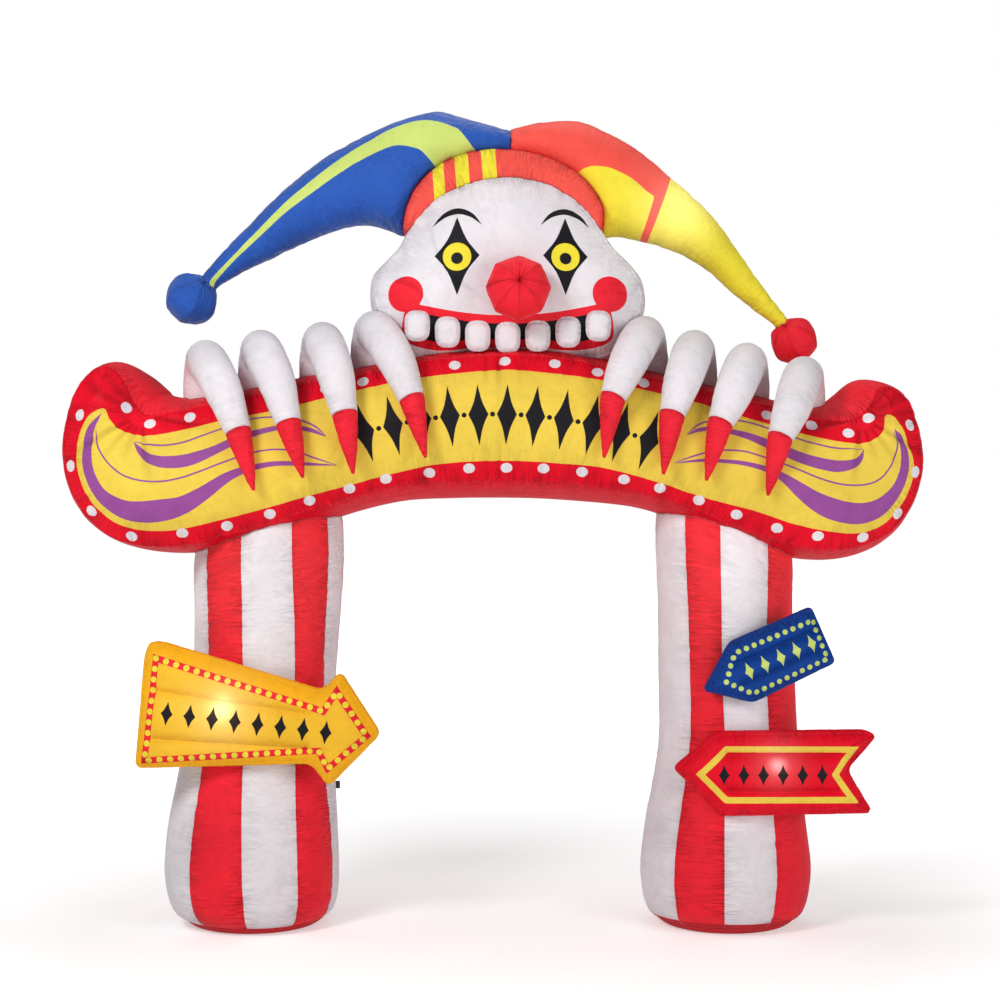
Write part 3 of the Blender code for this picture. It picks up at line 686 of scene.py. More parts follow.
# --- pieces that press on each other
@dataclass
class Cloth:
    """Points and faces of a piece, which may lie on other pieces."""

    points: Array = field(default_factory=lambda: np.zeros((0, 3)))
    faces: list[tuple[int, ...]] = field(default_factory=list)

    def tree(self) -> BVHTree:
        """Search tree of the cloth's faces."""
        return BVHTree.FromPolygons(self.points.tolist(), self.faces)

    def press(self, push: Place | Callable[[Array], Place], carriers: Iterable[BVHTree],
              where: Array | None = None, cling: bool = False) -> None:
        """Move points along one direction until they lie on what carries them.

        Args:
            push: direction away from the carrier, or a function that gives it at a point.
            carriers: what lies under the cloth.
            where: which points may move; all where it is left out.
            cling: whether points that hang clear of the carrier are drawn onto it as well.
        """
        moved, trees = self.points.copy(), list(carriers)
        for number in range(len(moved)) if where is None else np.where(where)[0]:
            place = Vector(moved[number])
            way = Vector(push(moved[number]) if callable(push) else push).normalized()
            hits = [tree.ray_cast(place + way * FAR, -way, FAR * 1.3) for tree in trees]
            depths = [FAR + TOUCH - hit[3] for hit in hits if hit[0] is not None]
            if depths and (cling or max(depths) > 0):
                moved[number] = place + way * max(depths)
        self.points = moved

    def dent(self, carriers: Iterable[BVHTree], where: Array | None = None) -> None:
        """Move points that are inside another piece out through its nearest face."""
        moved = self.points.copy()
        for tree in carriers:
            for number in range(len(moved)) if where is None else np.where(where)[0]:
                place = Vector(moved[number])
                spot, normal, _, distance = tree.find_nearest(place, 0.2)
                if spot is not None and (place - spot).dot(normal) < (
                        TOUCH if distance < TOUCH else -0.4 * distance):
                    moved[number] = spot + normal * TOUCH
        self.points = moved


def squeezed(rings: Array, held: int, end: int, carriers: Iterable[BVHTree]) -> Array:
    """Shorten the columns of a tube so that its end ring lies on what carries it.

    Args:
        rings: stations, columns, 3.
        held: station that stays where it is.
        end: the last station on the carrier's side.
        carriers: what the end rests on.

    Returns:
        The new rings.
    """
    rings, trees = rings.copy(), list(carriers)
    stations = range(held + 1, end + 1) if end > held else range(end, held)
    for column in range(rings.shape[1]):
        start = Vector(rings[held, column])
        way = Vector(rings[end, column]) - start
        hits = [tree.ray_cast(start, way.normalized(), way.length) for tree in trees]
        reach = [hit[3] for hit in hits if hit[0] is not None]
        if reach:
            share = (min(reach) - TOUCH) / way.length
            for station in stations:
                rings[station, column] = start + (Vector(rings[station, column]) - start) * share
    return rings


# --- cloth
@dataclass
class Skin(Cloth):
    """The cloth of one piece while it is cut, sewn and blown up."""

    dyes: list[Dye] = field(default_factory=list)
    cloth: Array = field(default_factory=lambda: np.zeros((0, 2)))
    seam: Array = field(default_factory=lambda: np.zeros((0, 2)))
    lift: Array = field(default_factory=lambda: np.zeros(0))
    seams: list[list[int]] = field(default_factory=list)
    caps: list[Array] = field(default_factory=list)
    painted_glows: list[GlowSpot] = field(default_factory=list)

    def add_points(self, points: Array, cloth: Array, seam: Array) -> int:
        """Add points with their place in the weave and by the seam; return the first's number."""
        first = len(self.points)
        self.points = np.vstack([self.points, points])
        self.cloth = np.vstack([self.cloth, cloth])
        self.seam = np.vstack([self.seam, seam])
        self.lift = np.zeros(len(self.points))
        return first

    def add_faces(self, faces: Array, dyes: Dye | Sequence[Dye]) -> None:
        """Add faces, all of one dye or each of its own."""
        self.faces += [tuple(face) for face in np.asarray(faces).tolist()]
        self.dyes += [dyes] * len(faces) if isinstance(dyes, Dye) else list(dyes)

    def normals(self) -> Array:
        """Outward unit normal of each point."""
        total = np.zeros_like(self.points)
        for width in (3, 4):
            group = np.array([face for face in self.faces if len(face) == width], int)
            if len(group):
                ring = [self.points[group[:, corner]] for corner in range(width)]
                area = (np.cross(ring[1] - ring[0], ring[2] - ring[0]) if width == 3
                        else np.cross(ring[2] - ring[0], ring[3] - ring[1]))
                for corner in range(width):
                    for axis in range(3):
                        total[:, axis] += np.bincount(group[:, corner], area[:, axis],
                                                      len(self.points))
        return total / np.maximum(np.linalg.norm(total, axis=1), 1e-12)[:, None]

    def blow_up(self, height: Array) -> None:
        """Move the cloth out by a height at each point."""
        self.points = self.points + self.normals() * height[:, None]
        self.lift = self.lift + height

    def close(self, row: Array, away: Array, dye: Dye, rings: int = 3) -> Array:
        """Close an open ring of points with smaller rings and a middle point.

        Args:
            row: numbers of the ring's points.
            away: direction in which the closed end faces.
            dye: colour of the end.
            rings: how many smaller rings it gets.

        Returns:
            Numbers of the points that were added.
        """
        first, last, rim = len(self.points), np.asarray(row), self.points[row]
        centre = rim.mean(axis=0)
        turn = np.cross(rim - centre, np.roll(rim, -1, axis=0) - centre).sum(axis=0)
        flip = float(turn @ away) < 0
        for step in range(1, rings + 1):
            base = self.add_points(rim + (centre - rim) * step / (rings + 1), self.cloth[row],
                                   self.seam[row])
            ring = np.arange(base, base + len(row))
            faces = np.column_stack([last, np.roll(last, -1), np.roll(ring, -1), ring])
            self.add_faces(faces[:, ::-1] if flip else faces, dye)
            last = ring
        tip = self.add_points(centre[None], self.cloth[row[:1]], self.seam[row[:1]])
        faces = np.column_stack([last, np.roll(last, -1), np.full(len(row), tip)])
        self.add_faces(faces[:, ::-1] if flip else faces, dye)
        return np.arange(first, len(self.points))

    def end(self, which: int) -> Array:
        """Which points close the first (0) or the last (1) end."""
        found = np.zeros(len(self.points), bool)
        found[self.caps[which]] = True
        return found

    @staticmethod
    def loop_uvs(values: Array, corners: Array, starts: Array) -> Array:
        """Values at each face corner, held still on faces where they would jump."""
        out = values[corners].copy()
        sizes = np.diff(np.append(starts, len(corners)))
        owner = np.repeat(np.arange(len(starts)), sizes)
        high = np.maximum.reduceat(out[:, 0], starts)
        low = np.minimum.reduceat(out[:, 0], starts)
        jumps = (high - low > 0.2)[owner]
        out[jumps, 0] = out[starts[owner[jumps]], 0]
        return out

    def make(self, name: str) -> bpy.types.Object:
        """Turn the cloth into an object with its finishes, weave and seam maps.

        Args:
            name: the piece's name.

        Returns:
            The new object, at the origin.
        """
        mesh = bpy.data.meshes.new(name)
        placed = self.points + (0.0, ARCH_Y, 0.0)
        mesh.from_pydata(placed.tolist(), [], self.faces)
        order = sorted(set(self.dyes), key=lambda dye: dye.value)
        for dye in order:
            mesh.materials.append(FINISHES[dye].material())
        slots = {dye: number for number, dye in enumerate(order)}
        mesh.polygons.foreach_set("material_index", [slots[dye] for dye in self.dyes])
        mesh.shade_smooth()
        corners = np.zeros(len(mesh.loops), int)
        mesh.loops.foreach_get("vertex_index", corners)
        starts = np.zeros(len(mesh.polygons), int)
        mesh.polygons.foreach_get("loop_start", starts)
        for label, values in (("cloth", self.cloth), ("seam", self.seam)):
            layer = mesh.uv_layers.new(name=label)
            layer.data.foreach_set("uv", self.loop_uvs(values, corners, starts).ravel())
        # relief: the cloth's lift, darkened in the hollows by the shader as painted shade
        relief = mesh.attributes.new("relief", "FLOAT", "POINT")
        relief.data.foreach_set("value", np.clip(self.lift / RELIEF_UNIT, -1.5, 1.0))
        # painted glow: a spot of emission around each given place
        glow = np.zeros(len(self.points))
        for x, y, z, radius, power in self.painted_glows:
            off = np.linalg.norm(self.points - (x, y, z), axis=1)
            glow += power * np.exp(-(off / radius) ** 2)
        mesh.attributes.new("glow", "FLOAT", "POINT").data.foreach_set("value", glow)
        mesh.validate()
        return put(name, mesh)


def declare(piece: bpy.types.Object, node: str, slot: str) -> None:
    """Hand a stuffed piece over to the frame in place of its solid.

    Args:
        piece: the finished object.
        node: solid that it stands for.
        slot: not used.
    """
    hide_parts(node)
    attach(piece, "root")
    LOG.info("%s: %d faces for %s", piece.name, len(piece.data.polygons), node)


# --- panels
def cut_panel(rim: Array, prints: Sequence[Print], lines: Sequence[Array],
              spacing: float) -> tuple[Array, Array, list[int]]:
    """Cut a flat panel into triangles that follow its rim and its printed shapes.

    Args:
        rim: closed outline of the panel.
        prints: shapes whose outlines the triangles follow.
        lines: rows of places that become points of the panel.
        spacing: distance between the points in the open field.

    Returns:
        Points, triangles, and the number of each rim point.
    """
    outlines = [rim] + [shape.outline for shape in prints]
    marked = np.vstack(outlines + list(lines))
    tree = KDTree(len(marked))
    for number, place in enumerate(marked):
        tree.insert((*place, 0.0), number)
    tree.balance()
    low, high = rim.min(axis=0), rim.max(axis=0)
    levels = np.arange(low[1], high[1], spacing * math.sqrt(3) / 2)
    grid = np.array([(x + (number % 2) * spacing / 2, z) for number, z in enumerate(levels)
                     for x in np.arange(low[0], high[0], spacing)])
    grid = grid[inside(grid, rim)]
    grid = grid[[tree.find((*place, 0.0))[2] > spacing * 0.55 for place in grid]]
    edges, first = [], 0
    for outline in outlines:
        count = len(outline)
        edges += [(first + at, first + (at + 1) % count) for at in range(count)]
        first += count
    placed, _, faces, sources, _, _ = delaunay_2d_cdt(
        [Vector(place) for place in np.vstack([marked, grid])], edges, [], 1, 1e-6)
    numbers = [0] * len(rim)
    for number, source in enumerate(sources):
        for origin in source:
            if origin < len(rim):
                numbers[origin] = number
    points, triangles = np.array([tuple(place) for place in placed]), np.array(faces, int)
    one, two = (points[triangles[:, corner]] - points[triangles[:, 0]] for corner in (1, 2))
    clockwise = one[:, 0] * two[:, 1] - one[:, 1] * two[:, 0] < 0
    triangles[clockwise] = triangles[clockwise][:, ::-1]
    return points, triangles, numbers


def dyes_of(places: Array, prints: Sequence[Print], ground: Dye) -> Array:
    """Dye of each place on a printed panel."""
    dyes = np.full(len(places), ground, object)
    for shape in prints:
        dyes[inside(places, shape.outline)] = shape.dye
    return dyes


# --- pads of two panels and a gusset
@dataclass
class AirPad:
    """A front and a back panel joined by a bulging gusset, with air inside."""

    rim: Array               # seam line of both panels, seen from the front
    bulge: Array             # how far out the gusset stands at mid depth
    depth: float
    crown: float
    reach: float
    middle: float
    spacing: float
    face: Dye
    side: Dye
    back: Dye
    prints: list[Print] = field(default_factory=list)
    creases: Sequence[Crease] = ()
    channels: Sequence[Channel] = ()
    seed: int = 1
    folds: float = 1.0       # factor on the depth of the puckers
    fold_size: float = 1.0   # factor on their width and length
    fold_reach: float = 0.24
    slack: float = 0.0035    # depth of the loose creases between the seams
    shrink: float = 1.0      # how much sooner the fine folds die out than on a large pad
    low_side: Dye | None = None   # painted shade: the gusset's darker dye where it faces down

    @classmethod
    def from_rows(cls, rows: Rows, coarse: float, fine: float, **others: object) -> "AirPad":
        """Pad from a table of x, z and puff, with its bulge set at the coarse stations."""
        read = curve(rows, coarse, closed=True)
        knots = np.column_stack([read[:, :2], outward(read[:, :2]) * np.maximum(read[:, 2:3], 0)])
        line = curve(knots, fine, closed=True)
        return cls(rim=line[:, :2], bulge=line[:, 2:], spacing=fine, **others)

    def height(self, away: Array) -> Array:
        """Smooth height of a panel above its seam plane, at distances from its rim."""
        return self.crown * (1 - (1 - np.minimum(away / self.reach, 1.0)) ** CROWN_POWER)

    def face_at(self, x: float, z: float) -> float:
        """Depth at which the smooth front panel lies at a place."""
        away, _ = nearest_on(np.array([[x, z]]), self.rim)
        return self.middle - self.depth / 2 - float(self.height(away)[0])

    @staticmethod
    def relaxed(values: Array, triangles: Array, held: Array, rounds: int = 25) -> Array:
        """Even out values over a panel, keeping those that are held."""
        edges = np.vstack([triangles[:, [0, 1]], triangles[:, [1, 2]], triangles[:, [2, 0]]])
        count = np.bincount(edges.ravel(), minlength=len(values))
        for _ in range(rounds):
            total = (np.bincount(edges[:, 0], values[edges[:, 1]], len(values))
                     + np.bincount(edges[:, 1], values[edges[:, 0]], len(values)))
            values = np.where(held, values, total / np.maximum(count, 1))
        return values

    def panel(self, made: Skin, front: bool) -> tuple[list[int], Array]:
        """Cut one of the two panels.

        Args:
            made: the skin that it is added to.
            front: whether it is the printed front panel.

        Returns:
            Numbers of its rim's points, and how far each of its points is blown up.
        """
        lines = [channel.line() for channel in self.channels]
        flat, triangles, rim = cut_panel(self.rim, self.prints if front else [], lines,
                                         self.spacing * (1.0 if front else BACK_COARSER))
        away, along = nearest_on(flat, self.rim)
        away[rim], along[rim] = 0.0, lengths_along(self.rim)
        rise = self.relaxed(self.height(away), triangles, away < self.reach * 0.35)
        bump = (puckered(along, away, self.fold_reach, self.seed, self.folds, self.fold_size)
                - SEAM_DIP * self.fold_size * np.exp(-(away / SEAM_WIDTH) ** 2))
        for channel, line in zip(self.channels, lines):
            off, at = nearest_on(flat, line, closed=False)
            rise = rise - channel.dip * np.exp(-off / channel.width)
            bump = bump + puckered(at, off, 0.07, self.seed + 3, 0.45, 0.55)
            bump = bump - CHANNEL_DIP * np.exp(-(off / 0.010) ** 2)
        for wave, share, key in ((0.55, 1.0, 50), (0.22, 0.5, 60)):
            bump = bump + np.clip(away / 0.10, 0, 1) * share * creased(
                flat, wave, self.seed + key + front, self.slack)
        level = self.depth / 2 + rise
        base = made.add_points(
            np.column_stack([flat[:, 0], self.middle + (-level if front else level), flat[:, 1]]),
            flat, np.column_stack([along, away * self.shrink]))
        if front:
            for fold in self.creases:
                bump = bump + fold.height(flat)
            made.add_faces(triangles + base, dyes_of(flat[triangles].mean(axis=1), self.prints,
                                                     self.face))
        else:
            made.add_faces(triangles[:, ::-1] + base, self.back)
        return [number + base for number in rim], bump

    def gusset(self, made: Skin, rims: list[list[int]]) -> list[Array]:
        """Cut the gusset between the rims of the panels.

        Args:
            made: the skin that it is added to.
            rims: numbers of the points of the front and the back rim.

        Returns:
            For each ring of its points, how far it is blown up.
        """
        along = lengths_along(self.rim)
        breadth = self.depth + 2 * np.linalg.norm(self.bulge, axis=1).mean()
        count = max(3, round(breadth / (self.spacing * 1.3)))
        rings, heights = [rims[0]], []
        for strip in range(1, count):
            share = 0.5 - 0.5 * math.cos(math.pi * strip / count)
            line = self.rim + self.bulge * math.sin(math.pi * share) ** GUSSET_POWER
            off = np.full(len(line), min(share, 1 - share) * self.depth)
            flat = np.column_stack([along, np.full(len(line), share * self.depth)])
            base = made.add_points(
                np.insert(line, 1, self.middle + self.depth * (share - 0.5), axis=1), flat,
                np.column_stack([along, off * self.shrink]))
            rings.append(list(range(base, base + len(line))))
            heights.append(
                puckered(along, off, self.fold_reach * 1.2, self.seed, self.folds, self.fold_size)
                + np.clip(off / 0.10, 0, 1) * creased(flat, 0.4, self.seed + 70, self.slack))
        middles = (self.rim + np.roll(self.rim, -1, axis=0)) / 2 - outward(self.rim) * 0.002
        dyes = dyes_of(middles, [shape for shape in self.prints if shape.through], self.side)
        # painted shade: darker dye on the gusset where it faces down
        if self.low_side:
            dyes[outward(self.rim)[:, 1] < -0.1] = self.low_side
        for near, beyond in zip(rings, [*rings[1:], rims[1]]):
            made.add_faces(np.column_stack([near, beyond, np.roll(beyond, -1), np.roll(near, -1)]),
                           dyes)
        return heights

    def skin(self) -> Skin:
        """Cut, sew and blow up the pad."""
        made = Skin()
        rims, heights = (list(each) for each in zip(self.panel(made, True),
                                                    self.panel(made, False)))
        heights += self.gusset(made, rims)
        made.seams = [rim + rim[:1] for rim in rims]
        flat, front = made.points[:, [0, 2]], made.points[:, 1] < self.middle
        made.seams += [[int(np.where(front, np.linalg.norm(flat - place, axis=1), 9.0).argmin())
                        for place in channel.line()] for channel in self.channels]
        made.blow_up(np.concatenate(heights))
        return made


# --- tubes
@dataclass
class AirTube:
    """A closed tube of rings, with air inside and seams along some of its columns."""

    rings: Array             # stations, columns, 3
    dye: Dye | Array         # one dye, or one for each station gap and column
    seams: Sequence[int]     # columns that are sewn
    sewn_ends: tuple[bool, bool] = (True, True)
    seed: int = 1
    folds: float = 1.0
    fold_size: float = 1.0
    fold_reach: float = 0.12
    slack: float = 0.002
    slack_wave: tuple[float, float] = (0.3, 0.12)   # around and along

    def lengths(self) -> tuple[Array, Array]:
        """Length along the tube at each station, and around it at each column."""
        along = lengths_along(self.rings.mean(axis=1))
        sides = np.linalg.norm(np.roll(self.rings, -1, axis=1) - self.rings, axis=2)
        return along, np.concatenate([np.zeros((len(sides), 1)), np.cumsum(sides, axis=1)], axis=1)

    def relief(self, along: Array, off: Array, which: Array, turn: Array, girth: Array) -> Array:
        """Height of the folds on the tube's wall.

        Args:
            along: length along the tube.
            off: distance around the tube from the nearest seam.
            which: number of that seam.
            turn: angle around the tube.
            girth: its circumference there.

        Returns:
            One height for each place.
        """
        width = np.minimum(self.fold_reach, girth / max(len(self.seams), 1) / 2)
        bump = puckered(along + which * 3.7, off, 9.0, self.seed, self.folds, self.fold_size)
        bump = bump * np.clip(1 - off / width, 0, 1) ** 0.7
        bump = bump - SEAM_DIP * self.fold_size * np.exp(-(off / SEAM_WIDTH) ** 2)
        places = np.column_stack([np.cos(turn) * girth / math.tau / self.slack_wave[0],
                                  np.sin(turn) * girth / math.tau / self.slack_wave[0],
                                  along / self.slack_wave[1]])
        loose = np.clip(off / 0.03, 0, 1)
        bump = bump + loose * creased(places, 1.0, self.seed + 40, self.slack, 0.16)
        bump = bump + loose * creased(places, 0.5, self.seed + 44, self.slack * 0.5, 0.16)
        for number, sewn in enumerate(self.sewn_ends):
            gap = along if number == 0 else along.max() - along
            bump = bump * np.clip(gap / 0.03, 0, 1)
            if sewn:
                bump = bump + puckered(turn * girth / math.tau, gap, self.fold_reach,
                                       self.seed + 20 + number, self.folds, self.fold_size)
                bump = bump - SEAM_DIP * self.fold_size * np.exp(-(gap / 0.009) ** 2)
                bump = np.where(gap < 0.012, np.minimum(bump, -0.0005), bump)
        return bump

    def skin(self) -> Skin:
        """Sew and blow up the tube."""
        made = Skin()
        stations, columns, _ = self.rings.shape
        along, around = self.lengths()
        off, which = np.full((stations, columns), 9.0), np.zeros((stations, columns))
        for number, seam in enumerate(self.seams):
            gap = np.abs(around[:, :-1] - around[:, seam:seam + 1])
            gap = np.minimum(gap, around[:, -1:] - gap)
            off, which = np.where(gap < off, gap, off), np.where(gap < off, number, which)
        lengths = np.repeat(along, columns)
        girths = np.repeat(around[:, -1], columns)
        turns = np.tile(np.arange(columns) * math.tau / columns, stations)
        made.add_points(self.rings.reshape(-1, 3),
                        np.column_stack([around[:, :-1].ravel(), lengths]),
                        np.column_stack([lengths, off.ravel()]))
        grid = np.arange(stations * columns).reshape(stations, columns)
        after = np.roll(grid, -1, axis=1)
        quads = np.stack([grid[:-1], after[:-1], after[1:], grid[1:]], axis=2).reshape(-1, 4)
        made.add_faces(quads, self.dye if isinstance(self.dye, Dye) else self.dye.ravel())
        self.face_out(made)
        middle = self.rings.mean(axis=1)
        made.caps = [made.close(grid[end], middle[end] - middle[beside],
                                self.dye if isinstance(self.dye, Dye) else self.dye[end][0])
                     for end, beside in ((0, 2), (-1, -3))]
        made.seams = [[int(number) for number in grid[:, seam]] for seam in self.seams]
        for end, sewn in zip((0, -1), self.sewn_ends):
            if sewn:
                made.seams.append([int(number) for number in (*grid[end], grid[end][0])])
        bump = self.relief(lengths, off.ravel(), which.ravel(), turns, girths)
        made.blow_up(np.concatenate([bump, np.zeros(len(made.points) - len(bump))]))
        return made

    def face_out(self, made: Skin) -> None:
        """Turn the faces of the wall round if they look into the tube."""
        corner = made.points[np.array(made.faces)]
        facing = np.cross(corner[:, 1] - corner[:, 0], corner[:, 2] - corner[:, 0])
        middles, centres = corner.mean(axis=1), self.rings.mean(axis=1)
        nearest = ((middles[:, None] - centres) ** 2).sum(axis=2).argmin(axis=1)
        if ((middles - centres[nearest]) * facing).sum() < 0:
            made.faces = [face[::-1] for face in made.faces]


@dataclass
class PrintedTube(AirTube):
    """A tube whose wall is cut flat and printed before it is rolled up."""

    prints: list[Print] = field(default_factory=list)   # outlines in length and girth
    spacing: float = 0.011

    def skin(self) -> Skin:
        """Cut, print, roll, sew and blow up the tube."""
        made = Skin()
        along, around = self.lengths()
        length, girth = float(along[-1]), float(around[:, -1].mean())
        steps, turns = round(length / self.spacing), round(girth / self.spacing)
        low = [(length * step / steps, 0.0) for step in range(steps + 1)]
        high = [(length * step / steps, girth) for step in range(steps + 1)][::-1]
        right = [(length, girth * step / turns) for step in range(1, turns)]
        left = [(0.0, girth * step / turns) for step in range(1, turns)][::-1]
        flat, triangles, rim = cut_panel(np.array(low + right + high + left), self.prints, [],
                                         self.spacing)
        dyes = dyes_of(flat[triangles].mean(axis=1), self.prints, self.dye)
        weld = np.arange(len(flat))
        first = rim[:steps + 1]
        last = rim[steps + len(right) + 1:2 * steps + len(right) + 2][::-1]
        weld[last] = first
        station = np.interp(flat[:, 0], along, np.arange(len(along)))
        low_row = np.minimum(station.astype(int), len(along) - 2)
        across = flat[:, 1] / girth * self.rings.shape[1]
        column = np.floor(across).astype(int) % self.rings.shape[1]
        beside = (column + 1) % self.rings.shape[1]
        down, over = (station - low_row)[:, None], (across - np.floor(across))[:, None]
        points = sum(self.rings[row, side] * share for row, side, share in (
            (low_row, column, (1 - down) * (1 - over)), (low_row + 1, column, down * (1 - over)),
            (low_row, beside, (1 - down) * over), (low_row + 1, beside, down * over)))
        girths = np.interp(flat[:, 0], along, around[:, -1])
        share = flat[:, 1] / girth
        off = np.minimum(np.minimum(share, 1 - share), np.abs(share - 0.5)) * girths
        which = (np.abs(share - 0.5) < 0.25).astype(float)
        made.add_points(points, flat, np.column_stack([flat[:, 0], off]))
        made.add_faces(weld[triangles], dyes)
        self.face_out(made)
        ring_first = [first[0]] + rim[-len(left):][::-1]
        ring_last = [first[-1]] + rim[steps + 1:steps + 1 + len(right)]
        made.caps = [made.close(np.array(ring_first), points[ring_first].mean(axis=0)
                                - self.rings[2].mean(axis=0), self.dye),
                     made.close(np.array(ring_last), points[ring_last].mean(axis=0)
                                - self.rings[-3].mean(axis=0), dyes[-1])]
        made.seams = [[int(number) for number in first],
                      [int(number) for number in ring_first] + [int(ring_first[0])]]
        bump = self.relief(flat[:, 0], off, which, share * math.tau, girths)
        made.blow_up(np.concatenate([bump, np.zeros(len(made.points) - len(bump))]))
        return made


def rings_along(path: Array, columns: int) -> Array:
    """Rings square to a bent path of x, y, z and radius.

    Args:
        path: one row for each station.
        columns: points in a ring, the first towards +X.

    Returns:
        Stations by columns by three.
    """
    places, radii = path[:, :3], path[:, 3]
    along = unit(np.gradient(places, axis=0))
    across = unit(np.array([1.0, 0, 0]) - along * along[:, :1])
    third = np.cross(along, across)
    turns = np.arange(columns) * math.tau / columns
    spokes = (across[:, None] * np.cos(turns)[None, :, None]
              + third[:, None] * np.sin(turns)[None, :, None])
    return places[:, None] + radii[:, None, None] * spokes


# --- geometry nodes
def grown(name: str, tree: bpy.types.NodeTree, values: dict[str, object],
          base: bpy.types.Mesh | None = None) -> bpy.types.Mesh:
    """Run a geometry node tree once and return its result as a plain mesh.

    Args:
        name: name of the mesh.
        tree: the tree.
        values: its inputs by name.
        base: mesh that goes in; empty where it is left out.

    Returns:
        The new mesh.
    """
    carrier = put(name + "_base", base or bpy.data.meshes.new(name + "_base"))
    modifier = carrier.modifiers.new("Nodes", "NODES")
    modifier.node_group = tree
    keys = {item.name: item.identifier for item in tree.interface.items_tree
            if item.item_type == "SOCKET" and item.in_out == "INPUT"}
    for key, value in values.items():
        modifier[keys[key]] = value
    bpy.context.view_layer.update()
    graph = bpy.context.evaluated_depsgraph_get()
    mesh = bpy.data.meshes.new_from_object(carrier.evaluated_get(graph))
    mesh.name = name
    bpy.data.objects.remove(carrier)
    return mesh


def finished(made: Wiring, geometry: Signal, material: str) -> bpy.types.NodeTree:
    """Close a geometry tree with real instances and the material that was given."""
    real = made.node("GeometryNodeRealizeInstances", {0: geometry})
    return made.close({0: made.node("GeometryNodeSetMaterial", {
        "Geometry": real, "Material": made.given[material]})})


@cache
def stitch_tree() -> bpy.types.NodeTree:
    """Geometry nodes that lay sewing stitches along lines."""
    made = Wiring.group("stitches_along_seams", "Geometry", {
        "Pitch": 0.012, "Size": (0.0016, 0.0016, 0.008), "Thread": None},
        {"Geometry": "Geometry"})
    spots = made.node("GeometryNodeCurveToPoints", {
        "Curve": made.node("GeometryNodeMeshToCurve", {0: made.given["Geometry"]}),
        "Length": made.given["Pitch"]}, "Points", mode="LENGTH")
    grain = made.node("GeometryNodeMeshIcoSphere", {"Radius": 0.5, "Subdivisions": 1})
    drawn = made.node("GeometryNodeTransform", {"Geometry": grain, "Scale": made.given["Size"]})
    return finished(made, made.node("GeometryNodeInstanceOnPoints", {
        "Points": spots, "Instance": drawn, "Rotation": spots.also("Rotation")}), "Thread")


def sew(name: str, slot: str, skins: Iterable[Skin], thread: Dye = Dye.WHITE) -> None:
    """Lay stitches along every seam of some pieces, as one object.

    Args:
        name: name of the stitching.
        slot: not used.
        skins: the pieces that are sewn.
        thread: colour of what they are sewn with.
    """
    points, edges = [], []
    for skin in skins:
        lifted = skin.points + skin.normals() * STITCH_LIFT + (0.0, ARCH_Y, 0.0)
        for seam in skin.seams:
            first = len(points)
            points += lifted[seam].tolist()
            edges += [(first + at, first + at + 1) for at in range(len(seam) - 1)]
    lines = bpy.data.meshes.new(name + "_lines")
    lines.from_pydata(points, edges, [])
    mesh = grown(name, stitch_tree(),
                 {"Pitch": STITCH_PITCH, "Thread": THREADS[thread].material()}, lines)
    mesh.shade_smooth()
    piece = put(name, mesh)
    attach(piece, "root")
    LOG.info("%s: %d faces", name, len(mesh.polygons))


@cache
def ball_tree() -> bpy.types.NodeTree:
    """Geometry nodes of a stuffed ball of gores whose seams meet at its two poles."""
    made = Wiring.group("gored_ball", "Geometry", {
        "Radius": 0.1, "Gores": 6, "Dip": 0.07, "Pucker": 0.004, "Centre": (0.0, 0.0, 0.0),
        "Turn": (0.0, 0.0, 0.0), "Cloth": None}, {"Geometry": "Geometry"})
    given, node = made.given, made.node
    radius, gores = given["Radius"], given["Gores"]
    shell = node("GeometryNodeMeshUVSphere", {
        "Rings": 60, "Radius": 1.0, "Segments": gores * 18.0}, "Mesh")
    place = node("GeometryNodeInputPosition")
    x = node("SeparateXYZ", {0: place})
    y, z = x.also("Y"), x.also("Z")
    gore = y.to("ARCTAN2", x).to("DIVIDE", math.tau) * gores
    share = (gore + 64.0).to("FRACT")
    around = (x.to("POWER", 2.0) + y.to("POWER", 2.0)).to("POWER", 0.5)
    dip = (1.0 - (share * math.pi).to("SINE")) * around * given["Dip"]
    breadth = node("Math", {0: math.tau, 1: gores}, operation="DIVIDE")
    off = share.to("MINIMUM", 1.0 - share) * breadth * (around * radius)   # from the seam
    down = z.to("MINIMUM", 1.0).to("MAXIMUM", -1.0).to("ARCCOSINE") * radius   # from the pole
    seam = node("CombineXYZ", {0: down + gore.to("ROUND") * 1.7, 1: off * 2.6 + 0.12})
    folds = node("TexNoise", {"Vector": node("CombineXYZ", {0: gore * 3.4, 1: down * 9.0}),
                              "Scale": 1.0, "Detail": 1.0}, "Fac")
    fold = (folds - 0.62) * ((off * -60.0).to("EXPONENT") + (down * -14.0).to("EXPONENT"))
    reach = radius * (1.0 - dip) + fold * given["Pucker"] * 4.0
    # relief: the folds, darkened in their hollows by the shader as painted shade, and a thin dark
    # line along each seam
    relief = fold * 1.2 - (off * -240.0).to("EXPONENT") * 0.55
    for name, kind, domain, value in (
            ("seam", "FLOAT2", "CORNER", seam), ("cloth", "FLOAT2", "CORNER", seam),
            ("relief", "FLOAT", "POINT", relief)):
        shell = node("GeometryNodeStoreNamedAttribute", {"Name": name, "Geometry": shell},
                     data_type=kind, domain=domain)
        made.tree.links.new(value.socket, next(
            socket for socket in shell.socket.node.inputs
            if socket.name == "Value" and socket.enabled))
    blown = node("GeometryNodeSetPosition", {"Geometry": shell, "Position": node(
        "VectorMath", {0: place, "Scale": reach}, operation="SCALE")})
    return finished(made, node("GeometryNodeTransform", {
        "Geometry": blown, "Translation": given["Centre"],
        "Rotation": node("FunctionNodeEulerToRotation", {0: given["Turn"]})}), "Cloth")


